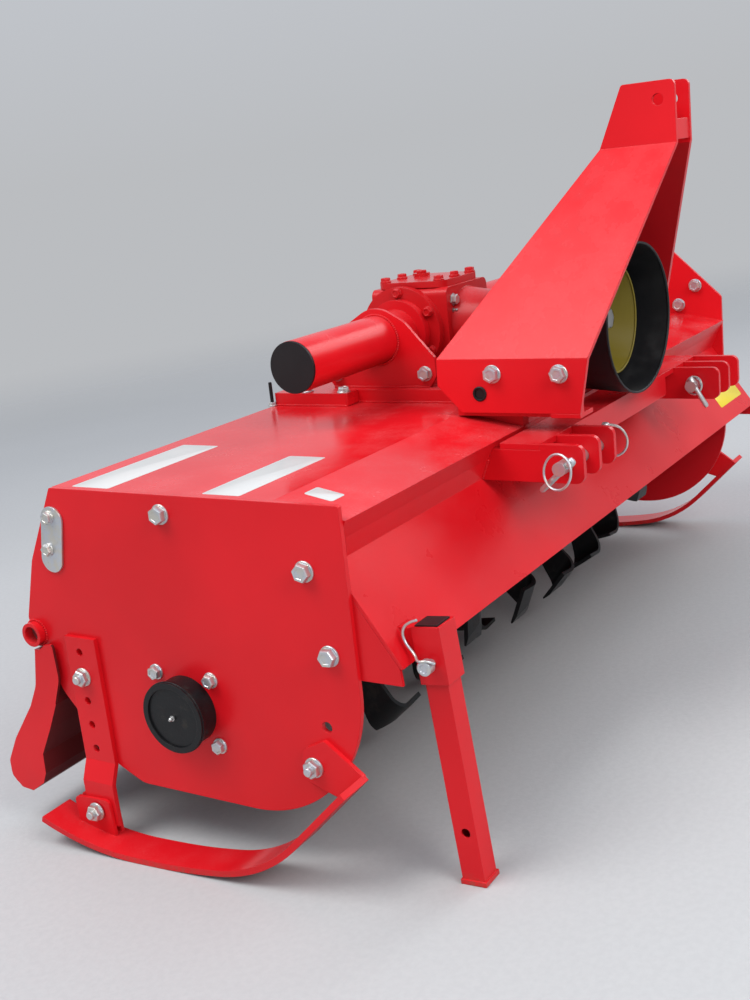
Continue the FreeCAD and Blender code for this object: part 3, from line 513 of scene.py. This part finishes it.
# %% Turned pieces
def turned(rows, sides=28):
    """A piece standing on its first row; rows are (radius, height) in millimetres."""
    clean_slate()
    radius, height = rows[0]
    bpy.ops.mesh.primitive_circle_add(vertices=sides, radius=radius / 1000, fill_type="NGON",
                                      location=(0, 0, height / 1000))
    piece = settled(bpy.context.object)
    edit(piece)
    bpy.ops.mesh.select_all(action="SELECT")
    for wide, high in rows[1:]:
        lift = (0, 0, (high - height) / 1000)
        bpy.ops.mesh.extrude_region_move(TRANSFORM_OT_translate={"value": lift})
        bpy.ops.transform.resize(value=(wide / radius, wide / radius, 1), center_override=(0, 0, 0))
        radius, height = wide, high
    bpy.ops.mesh.select_all(action="SELECT")
    bpy.ops.mesh.normals_make_consistent(inside=False)
    done()
    return piece


# %% [markdown]
# ## Bolts
# A hexagon bolt on its washer is the detail that gives a machine its scale. Head, nut and washer
# are turned on the lathe above, then copied to every place where the drawing has one. A nut shows
# the end of its bolt. No two heads stop at the same angle, so each copy is turned a little more.

# %% One bolt, one nut
SPIN_STEP = 17.0                # degrees from one head to the next


def washer_disc(radius):
    return turned([(radius, 0), (radius, 1.9), (radius * 0.95, 2.8)])


def bolt(across=24.0, height=13.0, washer=15.5):
    """A head on its washer: width over the flats, height, and the washer's radius."""
    corner = across / math.sqrt(3)
    disc = washer_disc(washer)
    head = turned([(corner, 2.4), (corner, height * 0.82), (corner * 0.9, height),
                   (corner * 0.62, height + 0.3), (corner * 0.55, height - 0.5)], 6)
    return merged(disc, head)


def nut(across=24.0, height=12.0, washer=15.5, proud=7.0):
    """A nut on its washer, with its bolt's end standing proud of it."""
    corner = across / math.sqrt(3)
    disc = washer_disc(washer)
    body = turned([(corner, 2.4), (corner, height * 0.85), (corner * 0.9, height)], 6)
    thread = across * 0.29
    end = turned([(thread, height - 1), (thread, height + proud - 1.2),
                  (thread * 0.82, height + proud)], 16)
    return merged(disc, body, end)


def fastened(name, pattern, rows, body="root", slot="zinc_steel"):
    """One pattern on many places; rows are x, y, z and the way it faces."""
    places = [aimed(mm(x, y, z), normal, SPIN_STEP * k) for k, (x, y, z, normal) in enumerate(rows)]
    return finished(repeated(pattern, places), name, slot, body)


def on_circle(y, z, radius, angle):
    """The y and z of a point on a circle whose axis runs along x."""
    return y + radius * math.cos(angle), z + radius * math.sin(angle)


# %% The bolts of the end plates
PLATE_BOLTS = [(-4, 526), (-249, 460)]          # with a nut inside
BLIND_BOLT = (-274, 340)                        # into the front panel's gusset
TOWER_BOLTS = [(-213, 573), (-255, 618)]
HUB_BOLTS = [(y, ROTOR_Z + z) for y in (-53, 53) for z in (-53, 53)]
HUB_FLANGE = 9
LUG_BOLT = (205, 22)
fastened("end_plate_bolts", bolt(), [
    (NEAR_PLATE, *at, NEAR) for at in [*PLATE_BOLTS, BLIND_BOLT]
] + [
    (FAR_PLATE, *at, NEAR) for at in TOWER_BOLTS
])
fastened("hub_bolts", bolt(19.0, 11.0, 12.5), [(NEAR_PLATE, *at, NEAR) for at in HUB_BOLTS])
fastened("hub_nuts", nut(19.0, 10.0, 12.5, 4.0), [
    (NEAR_INSIDE + HUB_FLANGE, *at, FAR) for at in HUB_BOLTS
])
fastened("end_plate_nuts", nut(), [(NEAR_INSIDE, *at, FAR) for at in PLATE_BOLTS] + [
    (NEAR_STRAP, *LUG_BOLT, FAR), (FAR_STRAP, *LUG_BOLT, NEAR),
])

# %% The bolts of the skids
TAB_BOLT = (-229, 168)
STRAP_BOLT = (205, 247.5)
LUG_OUT = 22                    # from the strap's face to the nut outside the lug
fastened("skid_nuts", nut(), [
    (NEAR_STRAP, *TAB_BOLT, NEAR), (NEAR_STRAP, *STRAP_BOLT, NEAR),
    (NEAR_STRAP - LUG_OUT, *LUG_BOLT, NEAR),
    (FAR_STRAP, *TAB_BOLT, FAR), (FAR_STRAP, *STRAP_BOLT, FAR),
    (FAR_STRAP + LUG_OUT, *LUG_BOLT, FAR),
])

# %% The bolts of the headstock and the tube supports
MAST_INSIDE = 294               # inner face of the headstock's feet
MAST_BOLTS = [(-286, 627), (-404, 627)]
SUPPORT_BOLTS = [(-86, 604), (106, 604)]
SUPPORT_OUT = 184               # outer faces of the tube supports
SUPPORT_IN = 176
fastened("headstock_bolts", bolt(), [(-MAST_X, *at, NEAR) for at in MAST_BOLTS] + [
    (MAST_X, *MAST_BOLTS[0], FAR),
])
fastened("headstock_nuts", nut(), [(-MAST_INSIDE, *at, FAR) for at in MAST_BOLTS] + [
    (MAST_INSIDE, *MAST_BOLTS[0], NEAR),
])
fastened("tube_support_bolts", bolt(22.0, 12.0, 14.0), [
    (side * SUPPORT_OUT, *at, (side, 0, 0)) for side in (-1, 1) for at in SUPPORT_BOLTS
])
fastened("tube_support_nuts", nut(22.0, 11.0, 14.0, 6.0), [
    (side * SUPPORT_IN, *at, (-side, 0, 0)) for side in (-1, 1) for at in SUPPORT_BOLTS
])

# %% The bolts round the gearbox and the drive case, painted with them
FLANGE_X = 96                   # outer faces of the gearbox's flanges
FLANGE_CIRCLE = 73
TUBE_FLANGE = 12                # drive tube's flange on the far end plate
TUBE_CIRCLE = 66
COVER_Z = 757
SIX_TURNS = [math.radians(60 * k) for k in range(6)]
BETWEEN_TURNS = [math.radians(30 + 60 * k) for k in range(6)]
fastened("gearbox_bolts", bolt(16.0, 9.0, 10.5), [
    (side * FLANGE_X, *on_circle(TUBE_Y, TUBE_Z, FLANGE_CIRCLE, a), (side, 0, 0))
    for side in (-1, 1) for a in BETWEEN_TURNS
] + [
    (x, y, COVER_Z, UP) for x in (-62, 0, 62) for y in (-62, 54)
] + [
    (FAR_PLATE - TUBE_FLANGE, *on_circle(TUBE_Y, TUBE_Z, TUBE_CIRCLE, a), NEAR)
    for a in BETWEEN_TURNS
], slot="gearbox_red")
# Round the drive case's edge: from its top rear corner over the top, down the front and back
CASE_EDGE = [
    (186, 565), (150, 638), (96, 716), (20, 737), (-60, 734), (-112, 716), (-161, 675),
    (-231, 605), (-270, 530), (-270, 420), (-270, 310), (-258, 212), (-130, 101), (-40, 98),
    (50, 98), (128, 108), (226, 352), (240, 420), (222, 492),
]
fastened("drive_case_bolts", bolt(16.0, 9.0, 10.5), [(CASE_FACE, *at, FAR) for at in CASE_EDGE])

# %% [markdown]
# ## Covers on the drive case
# Behind the far end plate a chain or gears bring the power down to the rotor. Over the two shafts
# the case has turned covers with their own bolts, a filler above and a drain below. They are
# turned like the bolts, with more sides because they are large.

# %% Turned covers
def cover(radius, rise):
    return turned([(radius, 0), (radius, rise * 0.7), (radius * 0.96, rise), (radius * 0.62, rise),
                   (radius * 0.55, rise * 1.7), (radius * 0.34, rise * 2.0),
                   (radius * 0.1, rise * 2.05)], 48)


COVER_SEAT = 5.5                # the covers' bolts stand on them, this far out
COVER_CIRCLES = [(TUBE_Y, TUBE_Z, 47), (0, ROTOR_Z, 52)]
upper_cover = moved(cover(60, 6), aimed(mm(CASE_FACE, TUBE_Y, TUBE_Z), FAR))
lower_cover = moved(cover(66, 7), aimed(mm(CASE_FACE, 0, ROTOR_Z), FAR))
finished(merged(upper_cover, lower_cover), "drive_case_covers", "gearbox_red")
fastened("drive_case_cover_bolts", bolt(13.0, 7.5, 8.5), [
    (CASE_FACE + COVER_SEAT, *on_circle(y, z, radius, a), FAR)
    for y, z, radius in COVER_CIRCLES for a in SIX_TURNS
])
fastened("oil_plugs", turned([(12, 0), (12, 2), (9.5, 2), (9.5, 9), (8.6, 10)], 6), [
    (CASE_FACE, -150, 600, FAR), (CASE_FACE, -60, 128, FAR),
    (58, -86, 606, FRONT), (-58, -86, 720, FRONT),
])

# %% [markdown]
# ## Bolts of the blades
# Each blade is held on its flange by two bolts, so that a worn one can be changed. The pattern is
# the drawing's: seven flanges, three blades on a face, each flange turned a step further. Only the
# step along the shaft is short, 244 mm against the drawing's 245.33 mm, so these bolts, and the
# welds below, stand off their flanges by 1.33 mm more at each one, and by 8 mm at the last.

# %% Blade bolts, which turn with the rotor
FLANGE_COUNT = 7
FIRST_FLANGE = -732
FLANGE_STEP = 244
BLADES = 3
FLANGES = [FIRST_FLANGE + FLANGE_STEP * k for k in range(FLANGE_COUNT)]
BARE_FACES = ((0, -1), (FLANGE_COUNT - 1, 1))   # the outer flanges have blades only inward
BOLT_RADII = (62, 82)
HEAD_SEAT = 13                  # flange's middle to the blade's face
NUT_SEAT = 5                    # and to the flange's own face
heads = []
nuts = []
for index, x in enumerate(FLANGES):
    for side in (1, -1):
        if (index, side) in BARE_FACES:
            continue
        for k in range(BLADES):
            angle = math.radians(index * 120 / FLANGE_COUNT + k * 120 + (0 if side > 0 else 60))
            for out in BOLT_RADII:
                y, z = -out * math.sin(angle), ROTOR_Z + out * math.cos(angle)
                heads.append((x + side * HEAD_SEAT, y, z, (side, 0, 0)))
                nuts.append((x - side * NUT_SEAT, y, z, (-side, 0, 0)))
fastened("blade_bolts", turned([(8.2, 0), (8.2, 5.5), (7.2, 6.5)], 6), heads, "rotor", "bare_steel")
blade_nut = turned([(8.2, 0), (8.2, 6.5), (7.4, 7.5), (4.6, 7.5), (4.6, 10), (4, 10.5)], 6)
fastened("blade_nuts", blade_nut, nuts, "rotor", "bare_steel")

# %% [markdown]
# ## Pins, linch pins and rings
# The hitch pins are kept in by linch pins: a short round peg through the pin's end, with a sprung
# ring that snaps over. The peg is turned with a thick head, the ring is a torus drawn a little
# oval, and both are laid across the pin's end where the photograph shows them.

# %% Linch pins
def loop(radius, thick, stretch=1.0):
    """A closed ring of wire, lying on the origin, drawn oval by the stretch."""
    clean_slate()
    bpy.ops.mesh.primitive_torus_add(major_radius=radius / 1000, minor_radius=thick / 1000,
                                     major_segments=40, minor_segments=8)
    piece = bpy.context.object
    edit(piece)
    bpy.ops.mesh.select_all(action="SELECT")
    bpy.ops.transform.resize(value=(1, stretch, 1), center_override=(0, 0, 0))
    done()
    return piece


def linch_pin(tip, head, ring_middle, ring_normal, ring_radius):
    tip, head = mm(*tip), mm(*head)
    length = (head - tip).length * 1000
    peg = turned([(3.2, 0), (4.9, 4), (4.9, length - 9), (6.6, length - 8), (7.2, length - 6),
                  (7.2, length + 2), (5.6, length + 5), (3, length + 6)], 20)
    peg = moved(peg, aimed(tip, head - tip))
    ring = moved(loop(ring_radius, 2.0, 1.06), aimed(mm(*ring_middle), ring_normal))
    return merged(peg, ring)


linches = [
    linch_pin((-403, -403, 460), (-403, -456, 508), (-416, -438, 495), (-1, 0.25, 0.2), 26),
    linch_pin((-227, -436, 466), (-227, -443, 524), (-213, -447, 496), (1, 0.1, 0.1), 26),
    linch_pin((225, -468, 457), (225, -438, 509), (236, -440, 497), (-1, 0.1, 0.15), 16),
    linch_pin((403, -416, 470), (403, -455, 512), (417, -442, 494), (1, 0.15, 0.2), 24),
]
finished(merged(*linches), "linch_pins", "zinc_steel", smooth=40.0)

# %% [markdown]
# ## The stand pin's clip
# The pin that locks the stand has a round head, and a spring wire that wraps the sleeve. A wire is
# a path with a thickness, so a curve through a few points is made and then turned into a mesh.

# %% Bent wire
def wire(points, radius):
    """A bent wire that follows smooth points of the level drawing, its ends closed."""
    clean_slate()
    curve = bpy.data.curves.new("wire", "CURVE")
    curve.dimensions = "3D"
    curve.resolution_u = 5
    curve.bevel_depth = radius / 1000
    curve.bevel_resolution = 2
    curve.use_fill_caps = True
    spline = curve.splines.new("NURBS")
    spline.points.add(len(points) - 1)
    for point, (x, y, z) in zip(spline.points, points):
        point.co = (*mm(x, y, z), 1.0)
    spline.order_u = 3
    spline.use_endpoint_u = True
    piece = bpy.data.objects.new("wire", curve)
    bpy.context.scene.collection.objects.link(piece)
    only(piece)
    bpy.ops.object.convert(target="MESH")
    return bpy.context.object


clip = wire([(-806, -423, 337), (-814, -417, 344), (-815, -402, 340), (-803, -393, 345),
             (-799, -377, 357), (-797, -371, 373), (-796, -380, 387), (-796, -396, 392)], 2.1)
finished(clip, "stand_pin_clip", "zinc_steel", smooth=60.0)
pin_head = turned([(10.5, 0), (10.5, 1.6), (9.2, 2.4), (6.2, 2.4), (5.4, 0.6), (3, 0.6)])
fastened("stand_pin_head", pin_head, [(-812, -410, 331, NEAR)])

# %% [markdown]
# ## The zinc plate
# On the near end plate sits a long zinc plate with round ends and two screws. A disc is added in
# edit mode and the points of one half of it are moved away; its walls follow, and that gives the
# long shape with less work than drawing two arcs.

# %% Zinc plate
PLATE_THICK = 4


def long_plate(radius, pitch, thick):
    clean_slate()
    bpy.ops.mesh.primitive_cylinder_add(vertices=40, radius=radius / 1000, depth=thick / 1000,
                                        location=(0, 0, thick / 2000))
    piece = settled(bpy.context.object)
    edit(piece)
    choose(piece, lambda middle, part: middle.x > 1e-5, "verts")
    bpy.ops.transform.translate(value=(pitch / 1000, 0, 0))
    done()
    return softened(piece, 0.0008)


zinc_top = Vector((NEAR_PLATE, 220, 504))
zinc_foot = Vector((NEAR_PLATE, 234, 440))
zinc_way = zinc_foot - zinc_top
zinc_piece = long_plate(22, zinc_way.length, PLATE_THICK)
finished(moved(zinc_piece, framed(mm(*zinc_top), NEAR, zinc_way)), "zinc_plate", "zinc_steel")
fastened("zinc_plate_screws", bolt(17.0, 9.0, 11.0), [
    (NEAR_PLATE - PLATE_THICK, y, z, NEAR) for y, z in ((224, 509), (236, 456))
])

# %% [markdown]
# ## Small things on the deck
# The gearbox stands on a base of folded sheet, whose open ends are closed by thin caps. Beside it
# stand two stay rods, and the headstock's spare hole has a dark ring, a painted shade for the
# hole. A cap is a cube flattened to a sheet, its corners bevelled and its top face inset and
# lifted for a soft edge.

# %% Flat sheets, and the closed ends of the gearbox base
def plate(length, width, thick, corner, edge=0.3):
    """A flat plate on the origin with round corners and soft edges, in millimetres."""
    clean_slate()
    bpy.ops.mesh.primitive_cube_add(size=1, scale=(length / 1000, width / 1000, thick / 1000),
                                    location=(0, 0, thick / 2000))
    piece = settled(bpy.context.object)
    edit(piece)

    def upright(middle, part):
        return abs(part.verts[0].co.z - part.verts[1].co.z) > thick / 2000

    choose(piece, upright, "edges")
    bpy.ops.mesh.bevel(offset=corner / 1000, segments=6)
    choose(piece, lambda middle, part: part.normal.z > 0.9)
    bpy.ops.mesh.inset(thickness=edge / 1000)
    bpy.ops.transform.translate(value=(0, 0, edge / 2000))
    done()
    return piece


CAP_Z = 567                     # middle of the caps' height
cap_places = [framed(mm(side * 224.5, 52.8, 556), FRONT, FAR) for side in (-1, 1)]
small_cap = moved(plate(37, 23, 3.5, 1.0), Matrix.Translation((0, 0.0115, 0)))
small_caps = repeated(small_cap, cap_places)
front_cap = moved(plate(410, 22, 3, 1.0), framed(mm(0, -148, CAP_Z), FRONT, FAR))
rear_cap = moved(plate(484, 22, 3, 1.0), framed(mm(0, 212, CAP_Z), REAR, FAR))
finished(merged(small_caps, front_cap, rear_cap), "base_end_caps", "body_red")

# %% Dark rings in the headstock's spare holes, as painted shade
# A black ring in each spare hole stands for the shade of the hole: painted shade.
hole_shade_ring = turned([(12.5, 0), (12.5, 1.5), (11, 2.4), (9, 2.0), (8.4, -4), (6, -4.2)])
fastened("headstock_hole_shade_rings", hole_shade_ring, [
    (-MAST_X, -260, 594, NEAR), (MAST_X, -260, 594, FAR),
], slot="dark_plastic")

# %% Stay rods, bolts of the base and grease nipples
ROD_X = 248
ROD_Y = 219
fastened("stay_rods", turned([(3.4, -6), (3.4, 42), (2.8, 44)], 16), [
    (side * ROD_X, ROD_Y, DECK_Z + 2, UP) for side in (-1, 1)
], slot="black_parts")
fastened("stay_rod_nuts", nut(13.0, 8.0, 9.0, 0.5), [
    (side * ROD_X, ROD_Y, DECK_Z, UP) for side in (-1, 1)
])
fastened("base_bolts", bolt(19.0, 10.0, 12.5), [
    (side * 231, y, BASE_Z, UP) for side in (-1, 1) for y in (64, 147)
] + [
    (side * 186, -128, BASE_Z, UP) for side in (-1, 1)
])
nipple = turned([(4.5, 0), (4.5, 3), (2.6, 3.5), (2.6, 6), (3.2, 7.5), (2, 9.5)], 12)
fastened("grease_nipples", nipple, [
    (-867, 0, ROTOR_Z, NEAR), (0, HINGE_Y, HINGE_Z + 20, UP), (-60, -86, 700, FRONT),
    (0, -220, 717, UP),
], slot="bare_steel")

# %% [markdown]
# ## Stripes and stickers, left blank
# Two pale stripes lie on the deck, a small sticker on its front slope and a yellow one on the front
# panel. They are thin foils with round corners, and carry nothing. A foil is the same flat sheet
# as a cap, only thinner, which gives it an edge that catches the light.

# %% Foils
FOLD_Y = -205                   # the deck's front slope falls from here
SLOPE_DROP = 22
SLOPE_RUN = 115
PANEL_LOW_Y = -386              # lower edge of the front panel
PANEL_LOW_Z = 332
PANEL_RUN = 96
PANEL_RISE = 138


def laid_foil(name, middle, normal, length, width, finish):
    piece = moved(plate(length, width, 0.4, 4.0, 0.15), framed(mm(*middle), normal, FAR))
    return finished(piece, name, finish)


def slope_z(y):
    return DECK_Z - SLOPE_DROP * (FOLD_Y - y) / SLOPE_RUN


def panel_y(z):
    return PANEL_LOW_Y + (z - PANEL_LOW_Z) * PANEL_RUN / PANEL_RISE


laid_foil("rear_stripe", (-686, 144, DECK_Z), UP, 264, 76, pale_foil)
laid_foil("front_stripe", (-706.5, -106, DECK_Z), UP, 217, 68, pale_foil)
laid_foil("slope_sticker", (-759, -245, slope_z(-245)), (0, -SLOPE_DROP, SLOPE_RUN), 34, 47, pale_foil)
laid_foil("panel_sticker", (724, panel_y(377), 377), (0, -PANEL_RISE, PANEL_RUN), 155, 39, yellow_foil)

# %% [markdown]
# ## Weld beads
# Sheets and tubes of such a machine are welded, and the beads catch the light. A bead is a row of
# small flattened drops, one laid half over the last. One drop with few faces is made, and copied
# along lines of the drawing, because a swept tube would look like a cord.

# %% Beads
DROP_STEP = 1.15                # drops along a line, in radii of a drop
DROP_LEAN = Vector((0.01, 0.02, 0.03))          # keeps every drop a little out of line


def weld(name, lines, radius=2.7, body="root", slot="body_red"):
    clean_slate()
    bpy.ops.mesh.primitive_uv_sphere_add(segments=8, ring_count=5, radius=radius / 1000)
    drop = bpy.context.object
    edit(drop)
    bpy.ops.mesh.select_all(action="SELECT")
    bpy.ops.transform.resize(value=(1, 1, 0.8), center_override=(0, 0, 0))
    done()
    places = []
    for line in lines:
        for start, end in zip(line, line[1:]):
            start, end = Vector(start), Vector(end)
            count = max(1, int((end - start).length / (radius * DROP_STEP)))
            for k in range(count):
                at = start.lerp(end, (k + 0.5) / count)
                places.append(aimed(mm(*at), end - start + DROP_LEAN, 40.0 * k))
    return finished(repeated(drop, places), name, slot, body, smooth=80.0)


def round_line(x, y, z, radius):
    """Points of a whole circle whose axis runs along x, every ten degrees."""
    return [(x, *on_circle(y, z, radius, math.radians(10 * k))) for k in range(37)]


# %% Welds of the gearbox base and its tube supports
BASE_HALF = 206
EAR_HALF = 243                  # its wider rear part
EAR_Y = 53
BASE_LOW = DECK_Z + 1
base_lines = []
for side in (-1, 1):
    base_lines.append(round_line(side * 185, TUBE_Y, TUBE_Z, 46))
    base_lines += [[(side * x, -94, 580), (side * x, 114, 580)] for x in (185, 175)]
    base_lines += [
        [(side * BASE_HALF, -150, BASE_LOW), (side * BASE_HALF, EAR_Y, BASE_LOW)],
        [(side * BASE_HALF, EAR_Y, BASE_LOW), (side * EAR_HALF, EAR_Y, BASE_LOW)],
        [(side * EAR_HALF, EAR_Y, BASE_LOW), (side * EAR_HALF, 214, BASE_LOW)],
        [(side * BASE_HALF, EAR_Y + 0.5, BASE_LOW), (side * BASE_HALF, EAR_Y + 0.5, BASE_Z - 1)],
    ]
weld("gearbox_base_welds", base_lines)

# %% Welds of the hinge, the brackets, the ears and the skids' tabs
BRACKET_X = 315                 # middle plate of three
BRACKET_STEP = 63
BEAM_END_X = 383                # the beam carries the plates inside this
BEAD_OUT = 0.5                  # beads' middle line off a face
body_lines = [
    round_line(NEAR_PLATE - BEAD_OUT, HINGE_Y, HINGE_Z, 21.5),
    round_line(FAR_OUTSIDE + BEAD_OUT, HINGE_Y, HINGE_Z, 21.5),
]
for side in (-1, 1):
    for step in (-1, 0, 1):
        for face in (-5.5, 5.5):
            x = side * BRACKET_X + step * BRACKET_STEP + face
            body_lines.append([(x, -304.5, 502), (x, -291, 470)])
            if abs(x) < BEAM_END_X:
                body_lines.append([(x, -395, 519.5), (x, -330, 519.5)])
    body_lines += [[(side * 32.5, y, 966), (side * 32.5, y, 995)] for y in (-516.5, -509.5)]
for x in (NEAR_STRAP - BEAD_OUT, FAR_STRAP + BEAD_OUT):
    body_lines.append([(x, -270, 126), (x, -311, 167)])
weld("body_welds", body_lines, 2.4)

# %% Welds of the stand and the rotor
STAND_NEAR_X = -784.5
STAND_FAR_X = -755.5
weld("stand_welds", [
    [(STAND_NEAR_X, -388, 337), (STAND_NEAR_X, -385, 372)],
    [(STAND_FAR_X, -388, 337), (STAND_FAR_X, -385, 372)],
    [(STAND_NEAR_X, -382, 336), (STAND_NEAR_X, -356, 373)],
], 2.2)
rotor_lines = [round_line(x + face, 0, ROTOR_Z, 39.5) for x in FLANGES for face in (-6.5, 6.5)]
weld("rotor_welds", rotor_lines, 3.0, "rotor", "black_parts")

# %% [markdown]
# ## The splined stub
# The tractor's shaft slides over six splines. A tube of many faces is added, the faces of the
# grooves are chosen by their angle, and pushed in. It stands for the plain stub of the drawing.

# %% Splines
STUB_R = 17.45
STUB_LENGTH = 74
GROOVE_DEPTH = 0.0028
clean_slate()
bpy.ops.mesh.primitive_cylinder_add(vertices=72, radius=STUB_R / 1000, depth=STUB_LENGTH / 1000,
                                    location=(0, 0, STUB_LENGTH / 2000))
stub = settled(bpy.context.object)
edit(stub)


def in_groove(middle, part):
    """Faces of the wall from 14 to 46 degrees in every 60."""
    return abs(part.normal.z) < 0.5 and 14 < math.degrees(math.atan2(middle.y, middle.x)) % 60 < 46


choose(stub, in_groove)
bpy.ops.mesh.extrude_region_shrink_fatten(TRANSFORM_OT_shrink_fatten={"value": -GROOVE_DEPTH})
done()
stub = softened(stub, 0.0003, 1, 50)
neck = turned([(16.2, -1), (STUB_R, 0), (STUB_R, 12), (19.9, 14), (19.9, 54)], 48)
stub = moved(stub, Matrix.Translation((0, 0, -0.0735)))
stub = moved(merged(neck, stub), aimed(mm(0, -297, TUBE_Z), REAR))
finished(stub, "splined_stub", "bare_steel", "input")
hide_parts("input_shaft")

# %% [markdown]
# ## Rims, ribs and the filler plug
# The guard's mouth and its yellow cup have rolled rims, the casting has ribs on its nose and on the
# front of its box, and a filler plug on its cover, and the hub's cap has a seam where it was
# pressed on. Rims are rings of wire, and a rib is a cube with two points of its top drawn up.

# %% Rims of the guard and the cup
MOUTH_X = 153.4                 # half width and half height of the guard's mouth
MOUTH_Z = 130.4
rim = loop(MOUTH_X, 2.6, MOUTH_Z / MOUTH_X)
rim = moved(rim, framed(mm(0, -424.5, TUBE_Z), FRONT, FAR))
finished(rim, "guard_rim", "dark_plastic", smooth=60.0)
cup_rim = moved(loop(96.8, 2.0), framed(mm(0, -381.5, TUBE_Z), FRONT, FAR))
finished(cup_rim, "cup_rim", "shield_yellow", smooth=60.0)


# %% Ribs of the casting
def rib(length, low, high, thick):
    """A wedge along +X, tall at its start and low at its end."""
    clean_slate()
    bpy.ops.mesh.primitive_cube_add(size=1, scale=(length / 1000, thick / 1000, low / 1000),
                                    location=(length / 2000, 0, low / 2000))
    piece = settled(bpy.context.object)
    edit(piece)
    choose(piece, lambda middle, part: middle.x < 1e-4 and middle.z > low / 1500, "verts")
    bpy.ops.transform.translate(value=(0, 0, (high - low) / 1000))
    done()
    return softened(piece, 0.002, 3)


NOSE_R = 48
nose_places = []
for k in range(4):
    angle = math.radians(45 + 90 * k)
    out = Vector((math.cos(angle), 0, math.sin(angle)))
    nose_places.append(framed(mm(NOSE_R * out.x, -158, TUBE_Z + NOSE_R * out.z), out, FRONT))
finished(repeated(rib(84, 4, 17, 9), nose_places), "nose_ribs", "gearbox_red")
box_places = [framed(mm(x, -84, 592), FRONT, UP) for x in (-46, 46)]
finished(repeated(rib(60, 2, 10, 8), box_places), "box_ribs", "gearbox_red")

# %% Filler plug and the seam of the hub's cap
plug = turned([(11, 0), (11, 4), (10, 5), (6, 5), (5.5, 4)], 6)
fastened("filler_plug", plug, [(22, 22, 764, UP)], slot="gearbox_red")
seam = turned([(56.6, 0), (57.2, 0.8), (57.2, 2.2), (56.6, 3.0)], 64)
fastened("hub_cap_seam", seam, [(-864, 0, ROTOR_Z, NEAR)], slot="black_parts")

# %% [markdown]
# ## The floor
# The machine stands on a pale floor that shows its shadow and nothing else. It is one large plane,
# which fades out with distance so that no horizon cuts the picture, and which is clear on its back,
# so that the machine can also be looked at from below.

# %% Floor
FADE_FROM = 3.0                 # metres from the middle
FADE_TO = 9.0
clean_slate()
bpy.ops.mesh.primitive_plane_add(size=60.0, location=(0, 0, -0.0005))
floor = bpy.context.object
floor.name = "floor"
ground = Finish("pale_floor", (0.50, 0.50, 0.50), 0.85, Specular_IOR_Level=0.2)
grain = ground.noise(90.0, 4.0, 0.6).between(0.3, 0.7)
tone = ground.mix(ground.noise(0.8, 4.0), (0.46, 0.46, 0.455), (0.53, 0.53, 0.525))
ground.set("Base Color", ground.mix(grain * 0.25, tone, (0.40, 0.40, 0.40)))
ground.bump(ground.noise(160.0, 3.0), 0.001, 0.3)
lengths = {"operation": "LENGTH"}
far_off = ground.node("ShaderNodeVectorMath", lengths, {0: ground.place()}, out="Value")
below = ground.node("ShaderNodeNewGeometry", {}, {}, out="Backfacing")
ground.set("Alpha", (1 - far_off.between(FADE_FROM, FADE_TO)) * (1 - below))
floor.data.materials.append(ground.material)
print("the floor fades from", FADE_FROM, "to", FADE_TO, "m")


# %% [markdown]
# ## The light
# A pale sky, brighter overhead, and three soft lamps, at a level where a colour renders about as it
# is written. The strongest comes from high on the left, so the deck is brighter than the end plate.

# %% Lamps
def lamp(name, at, target, size, watts):
    light = bpy.data.lights.new(name, "AREA")
    light.shape = "DISK"
    light.size = size
    light.energy = watts
    made = bpy.data.objects.new(name, light)
    bpy.context.scene.collection.objects.link(made)
    way = Vector(target) - Vector(at)
    made.matrix_world = Matrix.Translation(at) @ way.to_track_quat("-Z", "Y").to_matrix().to_4x4()
    print(name, watts, "W")


lamp("high_left", (-2.6, 1.2, 4.4), (0, 0, 0.4), 3.0, 140)
lamp("front", (-1.6, -3.6, 3.0), (0, -0.2, 0.4), 2.6, 100)
lamp("far_side", (3.6, -1.6, 3.0), (0, 0, 0.5), 2.4, 50)

# %% Sky
HORIZON = (0.62, 0.635, 0.66)
ZENITH = (0.84, 0.91, 1.04)
world = bpy.data.worlds.new("soft_day")
bpy.context.scene.world = world
world.use_nodes = True
sky = Nodes(world.node_tree)
where = sky.node("ShaderNodeTexCoord", {}, {}, out="Generated")
upward = sky.node("ShaderNodeSeparateXYZ", {}, {0: where}, out=2)
climb = sky.node("ShaderNodeMapRange", {}, {"Value": upward, "From Min": 0.05, "From Max": 0.75})
background = sky.tree.nodes["Background"].inputs
sky.plug(background["Color"], sky.mix(climb, HORIZON, ZENITH))
sky.plug(background["Strength"], 0.80)
bpy.context.scene.view_settings.view_transform = "Standard"
print("sky from", HORIZON, "to", ZENITH)
